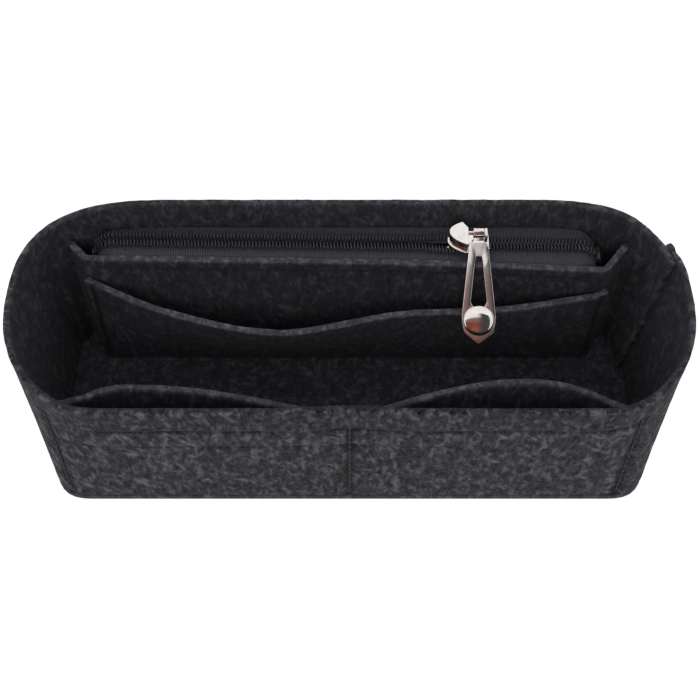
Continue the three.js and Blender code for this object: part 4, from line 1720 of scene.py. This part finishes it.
@dataclass
class CoilChain:
    """The two nylon coils: loops that mesh to the right of the slider and part to its left."""

    material: Material
    zip: ZipLine
    pitch: float = 1.3
    wire: float = 0.62
    height: float = 2.2
    reach: float = 0.45
    above: float = 0.6
    open_shift: float = 0.95
    spread_shift: float = 2.2
    spread_length: float = 16.0
    post_place: float = 40.5
    slider_tail: float = 53.25
    loop_sides: int = 18
    wire_sides: int = 6
    shading: float = 60.0

    def shift(self, x: Array) -> Array:
        """How far each half stands from its closed place.

        Args:
            x: Places along the chain.

        Returns:
            One shift for each.
        """
        past = x - self.post_place
        opening = between((self.open_shift, self.spread_shift), bell(-past / self.spread_length))
        closing = self.spread_shift * bell(past / (self.slider_tail - self.post_place))
        return np.where(x < self.post_place, opening, closing)

    def loop(self, name: str) -> Piece:
        """One turn of the coil: a ring drawn out across the chain, its bars slanting.

        Args:
            name: The piece's name.

        Returns:
            The loop.
        """
        radius = (self.height - self.wire) / 2
        half = (self.zip.chain / 2 + self.reach - self.wire) / 2 - radius
        piece = start_with(
            name, bpy.ops.mesh.primitive_torus_add, major_segments=self.loop_sides,
            minor_segments=self.wire_sides, major_radius=radius * MM,
            minor_radius=self.wire / 2 * MM, rotation=(0, math.pi / 2, math.pi / self.loop_sides),
        )
        points = points_of(piece)
        side = np.cos(np.arctan2(points[:, 2], points[:, 1]))
        points[:, 1] += half * np.sign(side) * (np.abs(side) > NEARLY)
        slant = 0.5 * self.pitch / (2 * (half + radius))
        points[:, 0] += slant * points[:, 1] * np.clip(points[:, 2] / radius, -1, 1)
        put_points(piece, points)
        return piece

    def build(self, side: Side) -> None:
        """Make one half of the chain.

        Args:
            side: The zip's side.
        """
        name = side.name.lower()
        start, end = self.zip.tape_ends
        piece = self.loop(f"coil_{name}")
        finish_with(
            piece, "ARRAY", count=int((end - start - self.pitch) / self.pitch),
            use_relative_offset=False, use_constant_offset=True,
            constant_offset_displace=(self.pitch * MM, 0, 0),
        )
        points = points_of(piece)
        points[:, 0] += start + self.pitch * (0.5 if side is Side.REAR else 1.0)
        middle = (self.zip.chain / 2 - self.reach) / 2
        points[:, 1] = side.value * (points[:, 1] + middle + self.shift(points[:, 0]))
        points[:, 2] += self.above + self.height / 2
        put_points(piece, self.zip.laid(points))
        face_outwards(piece)
        smooth(piece, self.shading)
        dress(piece, self.material, f"zip_coil_{name}")


@dataclass
class ZipStops:
    """The moulded stops at the chain's ends, each a block with a sunk top."""

    material: Material
    zip: ZipLine
    nodes: tuple[str, ...] = ("zip_top_stop_rear", "zip_top_stop_front", "zip_bottom_stop")
    past_chain: Pair = (5.5, 6.7)
    rim: float = 0.35
    sunk: float = 0.3
    rounding: float = 0.16

    def build(self, node: str) -> None:
        """Make the stop that stands for a solid.

        Args:
            node: The solid's name.
        """
        low, high = (np.array(corner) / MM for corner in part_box(node))
        middle = self.zip.matrix.inverted() @ Vector((low + high) / 2)
        name, add = node.replace("zip_", "moulded_"), bpy.ops.mesh.primitive_cube_add
        piece = start_with(name, add, size=1, scale=(high - low) * MM)
        inset_face(piece, lambda face: face.calc_center_median().z, self.rim, -self.sunk)
        round_edges(piece, self.rounding, 3)
        face_outwards(piece)
        middle.x += self.past_chain[1] if middle.x > 0 else -self.past_chain[0]
        put_points(piece, self.zip.laid(points_of(piece) + tuple(middle)))
        smooth(piece)
        dress(piece, self.material, node)


@dataclass
class Slider:
    """The slider: two plates on a post, walls down its sides, and a crown with the pull's rod."""

    material: Material
    zip: ZipLine
    nose: float = 8.5
    tail: float = 7.25
    shoulder: float = -2.0
    shoulder_half: float = 6.3
    tail_half: float = 4.1
    blunt: float = 0.6
    wall: float = 0.8
    wall_inset: float = 0.12
    wall_foot: float = 0.7
    lower_inset: float = 0.8
    plate: float = 1.0
    plate_rounding: float = 0.24
    slope_width: float = 2.3
    slope_drop: float = 0.5
    plate_bottom: float = 3.2
    lower_top: float = -0.7
    post: Pair = (1.8, 4.0)
    post_nose: float = 0.3
    crown_clear: float = 0.1
    crown_inset: float = 1.2
    crown_slope: float = 17.0
    crown_ridge: float = 0.5
    crown_corner: float = 1.8
    corner_way: Colour = (0.8, 0.6, 0)
    crown_rise: float = 0.3
    crown_rounding: float = 0.45
    crown_end: float = -0.9
    crown_split: float = 0.8
    crown_leg: Pair = (1.2, 4.0)
    leg_rounding: float = 0.35
    rod: float = 1.6
    pivot: float = 7.9
    side_points: int = 14
    nose_points: int = 16
    wall_points: int = 10
    crown_segments: int = 6
    crown_angle: float = 24.0
    rod_sides: int = 24
    shading: float = 35.0

    @property
    def crown_foot(self) -> float:
        """Height of the crown's under side, just over the upper plate."""
        return self.plate_bottom + self.plate + self.crown_clear

    @property
    def leg_end(self) -> float:
        """X of the crown's leg at the tail."""
        return self.tail - self.wall

    def half_width(self, x: Array) -> Array:
        """Half of the plates' width between the shoulder and the tail."""
        back = (x - self.shoulder) / (self.tail - self.shoulder)
        return between((self.tail_half, self.shoulder_half), bell(back))

    def outline(self, inset: float) -> Array:
        """A plate's outline, a shield with a blunt nose, narrowed at each side.

        Args:
            inset: How much narrower it is at each side.

        Returns:
            Its points, as X and Y.
        """
        x = np.linspace(self.tail, self.shoulder, self.side_points)
        side = np.column_stack([x, self.half_width(x) - inset])
        wide = self.shoulder_half - inset
        knots = ((self.shoulder, wide), (-self.nose, self.blunt * wide), (-self.nose, 0))
        half = np.vstack([side, turned_line(knots, self.nose_points)])
        return np.vstack([half, half[-2::-1] * (1, -1)])

    def swollen(self, name: str, inset: float, foot: float, facing: int) -> Piece:
        """A plate with a slope round its outer face.

        Args:
            name: The piece's name.
            inset: How much narrower it is at each side.
            foot: Height of its edge's under side.
            facing: 1 if its outer face looks up, or -1.

        Returns:
            The plate.
        """
        piece = prism(name, self.outline(inset), foot, foot + self.plate - self.slope_drop)

        def rank(face: bmesh.types.BMFace) -> float:
            """Highest for the outer face."""
            return facing * face.normal.z * face.calc_area()

        inset_face(piece, rank, self.slope_width, self.slope_drop)
        round_edges(piece, self.plate_rounding, 3)
        return piece

    def polish(self, piece: Piece, node: str) -> None:
        """Put a piece in its place, shade it and dress it.

        Args:
            piece: The piece, drawn about the slider's middle.
            node: The solid that it stands for.
        """
        face_outwards(piece)
        place_in(piece, self.zip.slider_matrix)
        smooth(piece, self.shading)
        finish_with(piece, "WEIGHTED_NORMAL", keep_sharp=True)
        dress(piece, self.material, node, Body.SLIDER)

    def build_body(self) -> None:
        """Make the body: plates, side walls and post."""
        body = self.swollen("slider_body", 0.0, self.plate_bottom, 1)
        foot = self.lower_top - self.plate + self.slope_drop
        parts = [self.swollen("slider_lower", self.lower_inset, foot, -1)]
        high = self.plate_bottom + self.plate / 2
        x = np.linspace(self.leg_end, self.shoulder, self.wall_points)
        outer, inner = self.half_width(x) - self.wall_inset, self.half_width(x) - self.wall
        side = np.vstack([np.column_stack([x, outer]), np.column_stack([x, inner])[::-1]])
        for sign in (1, -1):
            parts.append(prism("slider_side", side * (1, sign), self.wall_foot, high))
        wide, long = self.post
        left, blunt = -self.nose + self.plate, self.post_nose * wide
        middle = left + long / 2
        post = ((left, blunt), (left, -blunt), (middle, -wide / 2), (left + long, 0),
                (middle, wide / 2))
        low = self.lower_top - self.plate / 2
        parts.append(prism("slider_post", np.array(post), low, high))
        fuse(body, parts)
        self.polish(body, "zip_slider_body")

    def crown_block(self) -> Piece:
        """The crown's shield-shaped block, its end cut off, its top sloped to the front.

        Returns:
            The block.
        """
        foot, top = self.crown_foot, self.pivot + self.rod / 2 + self.crown_rise
        shield = self.outline(self.crown_inset) + (self.plate / 2, 0)
        crown = prism("slider_crown", shield, foot, top)
        lean = math.radians(self.crown_slope)
        slice_off(crown, (self.crown_end, 0, 0), (1, 0, 0))
        slice_off(crown, (self.crown_end, self.crown_corner, 0), self.corner_way)
        slice_off(crown, (0, self.crown_ridge, top), (0, -math.sin(lean), math.cos(lean)))
        round_edges(crown, self.crown_rounding, self.crown_segments, self.crown_angle)
        return crown

    def build_crown(self) -> None:
        """Make the crown: a block at the mouth, then the pull's rod, held by a leg at the tail."""
        crown, foot = self.crown_block(), self.crown_foot
        leg_long, leg_wide = self.crown_leg
        start = (self.crown_end - self.nose + self.plate / 2) / 2
        middle = self.leg_end - leg_long / 2
        rod = start_with(
            "slider_rod", bpy.ops.mesh.primitive_cylinder_add, vertices=self.rod_sides,
            radius=self.rod / 2 * MM, depth=(middle - start) * MM,
            location=((start + middle) / 2 * MM, 0, self.pivot * MM), rotation=(0, math.pi / 2, 0),
        )
        tall = self.pivot + self.rod / 2 + self.crown_rise / 4 - foot
        leg = start_with(
            "slider_leg", bpy.ops.mesh.primitive_cube_add, size=1,
            location=(middle * MM, 0, (foot + tall / 2) * MM),
            scale=(leg_long * MM, leg_wide * MM, tall * MM),
        )
        round_edges(leg, self.leg_rounding, 4)
        fuse(crown, [rod, leg])
        self.polish(crown, "zip_slider_crown")


@dataclass
class Pull:
    """The drop pull: a rolled eye, two ribs about a drop-shaped hole, a domed end and a point."""

    slider: Slider
    slope: float = 25.0
    length: float = 43.0
    thick: float = 1.6
    rounding: float = 0.72
    thinner: float = 0.44
    neck: float = 7.0
    width: float = 12.8
    disc_place: float = 33.9
    widest: float = 1.6
    point_width: float = 10.2
    dome: float = 1.7
    dome_width: float = 11.8
    dome_sunk: float = 0.4
    dome_root: float = 0.6
    hole: Pair = (9.4, 29.2)
    hole_neck: float = 2.4
    hole_width: float = 6.0
    eye_inner: float = 1.1
    eye_wall: float = 1.0
    eye_length: float = 4.2
    eye_rounding: float = 0.25
    neck_rounding: float = 0.3
    rays: int = 120
    ray_gap: float = 0.012
    point_steps: int = 12
    hole_points: int = 14
    edge_segments: int = 5
    dome_sides: int = 56
    dome_rings: int = 32
    eye_sides: int = 40
    shading: float = 32.0

    def outer_line(self) -> Array:
        """The pull's outline, closed, as X and Y.

        Returns:
            Its points.
        """
        wide, point = self.width / 2, self.point_width / 2
        widest, start = -self.disc_place + self.widest, -self.disc_place - point
        knots = ((wide, widest), (wide, (widest + start) / 2), (point, start))
        neck = (self.neck / 2, -self.neck / 2)
        right = np.vstack([neck, (wide, widest), turned_line(knots, self.point_steps)])
        return np.vstack([right, [[0, -self.length]], right[::-1] * (-1, 1), right[:1]])

    def hole_line(self) -> Array:
        """The hole's outline, closed, as X and Y.

        Returns:
            Its points.
        """
        half, (top, bottom) = self.hole_width / 2, self.hole
        angle = np.linspace(0, -math.pi / 2, self.hole_points)
        arc = np.column_stack([half * np.cos(angle), -bottom + half + half * np.sin(angle)])
        right = np.vstack([[self.hole_neck / 2, -top], arc])
        return np.vstack([right, right[-2::-1] * (-1, 1), right[:1]])

    @staticmethod
    def met(line: Array, rays: Array) -> Array:
        """Where rays from the middle first meet a closed line.

        Args:
            line: The line's points, measured from the middle.
            rays: The rays' angles.

        Returns:
            One point for each ray.
        """
        (x, y), (run, rise) = line[:-1].T, np.diff(line, axis=0).T
        found = []
        for ray in rays:
            way = np.array([math.cos(ray), math.sin(ray)])
            cross = way[0] * rise - way[1] * run
            cross = np.where(np.abs(cross) < NEARLY**2, NEARLY**2, cross)
            far, share = (x * rise - y * run) / cross, (x * way[1] - y * way[0]) / cross
            good = (far > 0) & (share > -NEARLY) & (share < 1 + NEARLY)
            found.append(far[good].min() * way)
        return np.array(found)

    def loops(self) -> tuple[Array, Array]:
        """Points of the outline and of the hole on the same rays from the hole's middle.

        Returns:
            Both lines' points.
        """
        centre = np.array([0, -(self.hole[0] + self.hole[1]) / 2])
        outer, inner = self.outer_line() - centre, self.hole_line() - centre
        angles = np.unwrap(np.arctan2(outer[:, 1], outer[:, 0]))
        low, high = sorted((angles[0], angles[-1]))
        even = np.linspace(low, high, self.rays + 1)[:-1]
        corners = np.mod(angles - low, 2 * math.pi) + low
        rays = np.unique(np.round(np.concatenate([even, corners]), 4))
        rays = rays[np.append(True, np.diff(rays) > self.ray_gap)]
        rays = rays[rays < high - self.ray_gap / 2]
        return self.met(outer, rays) + centre, self.met(inner, rays) + centre

    def plate(self) -> Piece:
        """The flat tab with its hole, its edges rounded and its neck thinner.

        Returns:
            The tab.
        """
        names, foot = ("drop_pull", "pull_hole"), -self.thick / 2
        piece, hole = (
            ring(name, line, foot, "NOTHING") for name, line in zip(names, self.loops())
        )
        take_up(piece, hole)
        bpy.ops.object.join()
        with editing(piece):
            bpy.ops.mesh.bridge_edge_loops()
            bpy.ops.mesh.select_all(action="SELECT")
            raise_selected(self.thick)
        face_outwards(piece)
        round_edges(piece, self.rounding, self.edge_segments)
        points = points_of(piece)
        top = self.hole[0]
        along = np.clip((points[:, 1] + top) / (top - self.neck / 2), 0, 1)
        points[:, 2] *= 1 - self.thinner * along
        put_points(piece, points)
        return piece

    def cap(self) -> Piece:
        """The round end's dome.

        Returns:
            The dome.
        """
        piece = start_with(
            "pull_dome", bpy.ops.mesh.primitive_uv_sphere_add, segments=self.dome_sides,
            ring_count=self.dome_rings, radius=MM,
        )
        reach, top = self.dome_width / 2, self.thick / 2
        points = points_of(piece) * (reach, reach, self.dome + self.dome_sunk)
        put_points(piece, points + (0, -self.disc_place, top - self.dome_sunk))
        slice_off(piece, (0, 0, top - self.dome_root), (0, 0, -1))
        face_outwards(piece)
        return piece

    def eye(self) -> list[Piece]:
        """The rolled eye and the neck that joins it to the tab.

        Returns:
            Both pieces.
        """
        middle = self.eye_inner + self.eye_wall / 2
        roll = start_with(
            "pull_eye", bpy.ops.mesh.primitive_cylinder_add, vertices=self.eye_sides,
            radius=middle * MM, depth=self.eye_length * MM, end_fill_type="NOTHING",
            rotation=(0, math.pi / 2, 0),
        )
        finish_with(roll, "SOLIDIFY", thickness=self.eye_wall * MM, offset=0.0)
        face_outwards(roll)
        round_edges(roll, self.eye_rounding, 3)
        long, thick = self.neck - middle, (1 - self.thinner) * self.thick
        neck = start_with(
            "pull_neck", bpy.ops.mesh.primitive_cube_add, size=1,
            location=(0, -(middle + long / 2) * MM, 0),
            scale=(self.eye_length * MM, long * MM, thick * MM),
        )
        round_edges(neck, self.neck_rounding, 3)
        return [roll, neck]

    def build(self) -> None:
        """Make the pull, hanging on the rod."""
        piece, slider = self.plate(), self.slider
        fuse(piece, [self.cap(), *self.eye()])
        middle = (slider.crown_split + slider.leg_end - slider.crown_leg[0]) / 2
        turn = Matrix.Rotation(math.radians(self.slope), 4, "X")
        hung = Matrix.Translation((middle, 0, slider.pivot)) @ turn
        place_in(piece, slider.zip.slider_matrix @ hung)
        smooth(piece, self.shading)
        dress(piece, slider.material, "zip_pull", Body.PULL)


# The sewing


@dataclass
class Sewing:
    """Rows of lockstitch: each stitch an arched length of thread that dives into the felt."""

    material: Material
    box: FeltBox
    pouch: Pouch
    stitch: float = 3.1
    gap: float = 0.55
    thread: float = 0.62
    proud: float = 0.12
    sunk: float = 0.35
    zip_sunk: float = 0.3
    taper: float = 0.35
    dive: float = 0.75
    cuts: int = 5
    foot: float = 6.8
    pocket_top: float = 63.2
    lap_top: float = 71.0
    pouch_drop: float = 4.0
    pouch_place: float = 34.0
    slip_rise: Pair = (0.08, 0.92)
    slip_place: float = 0.02
    zip_reach: float = 91.5
    tacks: tuple[float, ...] = (62.0, 62.7, 63.4, 64.1)
    tack_step: float = 0.1
    sides: int = 8
    long_share: float = 0.8
    wall_points: int = 40
    pouch_points: int = 30
    zip_points: int = 60
    shading: float = 60.0

    def one_stitch(self, length: float) -> Piece:
        """A stitch along X, bent down at its ends.

        Args:
            length: Its length.

        Returns:
            The stitch.
        """
        piece = start_with(
            "stitch", bpy.ops.mesh.primitive_cylinder_add, vertices=self.sides,
            radius=self.thread / 2 * MM, depth=length * MM, rotation=(0, math.pi / 2, 0),
        )
        with editing(piece) as mesh:
            bpy.ops.mesh.select_all(action="DESELECT")
            for edge in mesh.edges:
                edge.select_set(edge.calc_length() > self.long_share * length * MM)
            bmesh.update_edit_mesh(piece.data)
            bpy.ops.mesh.subdivide(number_cuts=self.cuts)
        points = points_of(piece)
        end = np.abs(points[:, 0]) / (length / 2)
        points[:, 1:] *= (1 - self.taper * end**4)[:, None]
        points[:, 2] -= self.dive * self.thread * end**3
        put_points(piece, points)
        return piece

    def row(self, name: str, path: Array, outward: Array, extra: Sequence[Matrix] = ()) -> Piece:
        """Stitches along a path.

        Args:
            name: The piece's name.
            path: Points on the felt's face.
            outward: The way out of the felt at each point.
            extra: Places of further stitches, such as a bar tack's.

        Returns:
            The row as one piece.
        """
        along = lengths_along(path)
        count = max(1, int(round(along[-1] / (self.stitch + self.gap))))
        step = along[-1] / count

        def at(where: float, values: Array) -> Array:
            """The value at a length along the path."""
            return np.array([np.interp(where, along, values[:, k]) for k in range(3)])

        places = []
        for middle in (np.arange(count) + 0.5) * step:
            point, out = Vector(at(middle, path)), Vector(at(middle, outward)).normalized()
            way = Vector(at(middle + step / 4, path) - at(middle - step / 4, path)).normalized()
            across = out.cross(way).normalized()
            turn = Matrix((way, across, way.cross(across))).transposed().to_4x4()
            places.append(Matrix.Translation(point + out * self.proud) @ turn)
        model = self.one_stitch(step - self.gap)
        copies = []
        for place in [*places, *extra]:
            copy = model.copy()
            copy.data = model.data.copy()
            bpy.context.scene.collection.objects.link(copy)
            place_in(copy, place)
            copies.append(copy)
        bpy.data.objects.remove(model)
        take_up(*copies)
        bpy.ops.object.join()
        piece = named(name)
        smooth(piece, self.shading)
        return piece

    def wall_row(self, place: float, low: float, high: float) -> tuple[Array, Array]:
        """A path up the wall's outer face and the ways out of it."""
        plan, z = self.box.plan, np.linspace(low, high, self.wall_points)
        return plan.wall(place, z, self.sunk), plan.wall(place, z, -1.0) - plan.wall(place, z, 1.0)

    def bar_tack(self) -> list[Matrix]:
        """Places of the short stitches across the top of the middle seam.

        Returns:
            The places.
        """
        turn, places = Matrix.Rotation(math.pi / 2, 4, "X"), []
        middle = self.box.seam_places()["middle"]
        for z in self.tacks:
            path, outward = self.wall_row(middle, z, z + self.tack_step)
            point, out = Vector(path[0]), Vector(outward[0])
            places.append(Matrix.Translation(point + out.normalized() * self.proud) @ turn)
        return places

    def rows(self) -> dict[str, tuple[Array, Array]]:
        """Every seam's path and the ways out of the felt along it, by name.

        Returns:
            The paths and ways by name.
        """
        plan, pouch, zip_line = self.box.plan, self.pouch, self.pouch.zip
        seams, found = self.box.seam_places(), {}
        for name in ("middle", "left", "right"):
            found[f"pocket_{name}"] = self.wall_row(seams[name], self.foot, self.pocket_top)
        found["wall_lap"] = self.wall_row(seams["lap"], self.foot, self.lap_top)
        z = np.linspace(self.foot, zip_line.pouch_top - self.pouch_drop, self.pouch_points)
        reach = plan.place_of(self.pouch_place)
        for name, place in (("left", 2 - reach), ("right", reach)):
            out = plan.wall(place, z, 1.0) - plan.wall(place, z, 0.0)
            found[f"pouch_{name}"] = plan.wall(place, z, 2 * plan.felt), out
        rise = np.linspace(*self.slip_rise, self.pouch_points)
        forward = np.array([[0.0, -1.0, 0.0]])
        for name, t in (("left", self.slip_place), ("right", 1 - self.slip_place)):
            path = pouch.slip(np.full_like(rise, t), rise, plan.felt - self.sunk)
            found[f"slip_{name}"] = path, forward.repeat(len(rise), axis=0)
        x, level = np.linspace(*zip_line.tape_ends, self.zip_points), zip_line.seam_z
        face = pouch.front_y(x, level) - plan.felt / 2 + self.zip_sunk
        path = np.column_stack([x, face, np.full_like(x, level)])
        found["zip_front"] = path, forward.repeat(len(x), axis=0)
        reach = plan.place_of(self.zip_reach)
        places = np.linspace(1 - reach, 1 + reach, self.zip_points)
        out = plan.wall(places, level, -1.0) - plan.wall(places, level, 0.0)
        found["zip_rear"] = plan.wall(places, level, self.zip_sunk), out
        return found

    def build(self) -> None:
        """Sew every seam."""
        for name, (path, outward) in self.rows().items():
            extra = self.bar_tack() if name == "pocket_middle" else ()
            piece = self.row(f"stitches_{name}", path, outward, extra)
            dress(piece, self.material, f"seam_{name}")


# The studio


@dataclass(frozen=True)
class Lamp:
    """A soft lamp: its place and size in metres, wide by high, and its power."""

    name: str
    place: Colour
    size: Pair
    power: float


@dataclass
class Studio:
    """A pale floor under even white light, seen from above the front."""

    elevation: float = 56.0
    distance: float = 475.0
    target: Colour = (0.15, 0.0, 40.6)
    focal: float = 1235.0
    frame_width: float = 700.0
    sensor: float = 36.0
    near: float = 0.01
    sky: float = 0.40
    glow: float = 0.75
    floor_size: float = 6.0
    floor_tone: Colour = (0.82, 0.82, 0.82)
    white: tuple[float, ...] = (1, 1, 1, 1)
    lamps: tuple[Lamp, ...] = (
        Lamp("softbox", (-0.1, -0.85, 0.82), (0.5, 0.5), 2.1),
        Lamp("strip", (0.0, -1.2, 0.1), (1.6, 0.16), 2.0),
    )
    lamp_target: Colour = (0, 0, 0.04)
    card_place: Colour = (-0.08, -0.185, 0.296)
    card_size: Pair = (0.88, 0.56)
    card_lean: float = 38.0
    card_foot: Colour = (0.05, 0.03, 0.026)
    card_bands: tuple[tuple[int, float, float, Colour], ...] = (
        (1, -0.36, -0.22, (0.22, 0.055, 0.03)),
        (1, -0.14, -0.085, (0.24, 0.145, 0.14)),
        (1, -0.06, -0.033, (0.95, 0.93, 0.92)),
        (0, 0.03, 0.15, (0.06, 0.058, 0.055)),
    )

    def place_camera(self) -> None:
        """Set the camera at the photograph's angle."""
        data = bpy.data.cameras.new("camera")
        data.sensor_width = self.sensor
        data.lens = self.sensor * self.focal / self.frame_width
        data.clip_start = self.near
        camera = bpy.data.objects.new("camera", data)
        rise = math.radians(self.elevation)
        back = Vector((0, -math.cos(rise), math.sin(rise)))
        camera.location = (Vector(self.target) + back * self.distance) * MM
        camera.rotation_euler = (-back).to_track_quat("-Z", "Y").to_euler()
        bpy.context.scene.collection.objects.link(camera)
        bpy.context.scene.camera = camera

    def lay_floor(self) -> None:
        """Lay the floor: matt and pale, glowing to white only where it is seen."""
        floor = start_with("floor", bpy.ops.mesh.primitive_plane_add, size=self.floor_size)
        mix = Recipe.of("pale_floor")
        mix.set(Base_Color=(*self.floor_tone, 1), Roughness=1.0, Specular_IOR_Level=0.0)
        mix.set(Emission_Color=self.white)
        mix.set(Emission_Strength=mix.times(mix.seen_rays(), self.glow))
        floor.data.materials.append(mix.owner)

    def hang_sky(self) -> None:
        """Fill the world with even white light, and show it as white."""
        world = bpy.data.worlds.new("tent")
        bpy.context.scene.world = world
        mix = Recipe(world)
        inputs = {"Value": mix.seen_rays(), "To Min": self.sky, "To Max": 1.0}
        light = mix.nodes["Background"].inputs
        mix.feed(light["Strength"], mix.add("ShaderNodeMapRange", inputs).outputs[0])
        mix.feed(light["Color"], self.white)

    def hang_lamp(self, lamp: Lamp) -> None:
        """Hang a lamp that points at the insert.

        Args:
            lamp: Its size, place and power.
        """
        data = bpy.data.lights.new(lamp.name, "AREA")
        data.shape = "RECTANGLE"
        data.size, data.size_y = lamp.size
        data.energy = lamp.power
        hung = bpy.data.objects.new(lamp.name, data)
        hung.location = lamp.place
        way = Vector(self.lamp_target) - Vector(lamp.place)
        hung.rotation_euler = way.to_track_quat("-Z", "Y").to_euler()
        bpy.context.scene.collection.objects.link(hung)

    def hang_card(self) -> None:
        """Hang a warm card over the front, which only the bright metal mirrors."""
        card = start_with("warm_card", bpy.ops.mesh.primitive_plane_add, size=1)
        turn = Matrix.Rotation(math.radians(self.card_lean), 4, "X")
        size = Matrix.Diagonal((*self.card_size, 1.0, 1.0))
        card.data.transform(Matrix.Translation(self.card_place) @ turn @ size)
        mix, tint = Recipe.of("warm_card"), self.card_foot
        for axis, low, high, colour in self.card_bands:
            tint = mix.blend(mix.spread(mix.axis(axis), low, high), tint, colour)
        mix.set(Base_Color=(0, 0, 0, 1), Specular_IOR_Level=0.0)
        mix.set(Emission_Color=tint, Emission_Strength=1.0)
        card.data.materials.append(mix.owner)
        for ray in ("camera", "diffuse", "shadow", "transmission"):
            setattr(card, f"visible_{ray}", False)

    def build(self) -> None:
        """Set up the camera, the floor and the light."""
        bpy.context.scene.view_settings.view_transform = "Standard"
        self.place_camera()
        self.lay_floor()
        self.hang_sky()
        self.hang_card()
        for lamp in self.lamps:
            self.hang_lamp(lamp)


def main() -> None:
    """Build every piece in order."""
    logging.basicConfig(level=logging.INFO, format="%(name)s: %(message)s")
    Studio().build()
    finishes = Wardrobe()
    plan, panel = BoxPlan(), FeltPanel(finishes.felt)
    zip_line = ZipLine(plan)
    box = FeltBox(plan, panel)
    box.build_floor()
    box.build_wall()
    FrontPockets(plan, panel).build()
    pouch = Pouch(plan, zip_line, panel)
    pouch.build_front()
    pouch.build_slip()
    tapes = ZipTapes(finishes.tape, plan, zip_line, pouch)
    chain = CoilChain(finishes.coil, zip_line)
    for side in Side:
        tapes.build(side)
        chain.build(side)
    stops = ZipStops(finishes.stop, zip_line)
    for node in stops.nodes:
        stops.build(node)
    slider = Slider(finishes.nickel, zip_line)
    slider.build_body()
    slider.build_crown()
    Pull(slider).build()
    Sewing(finishes.thread, box, pouch).build()


if __name__ == "__main__":
    main()
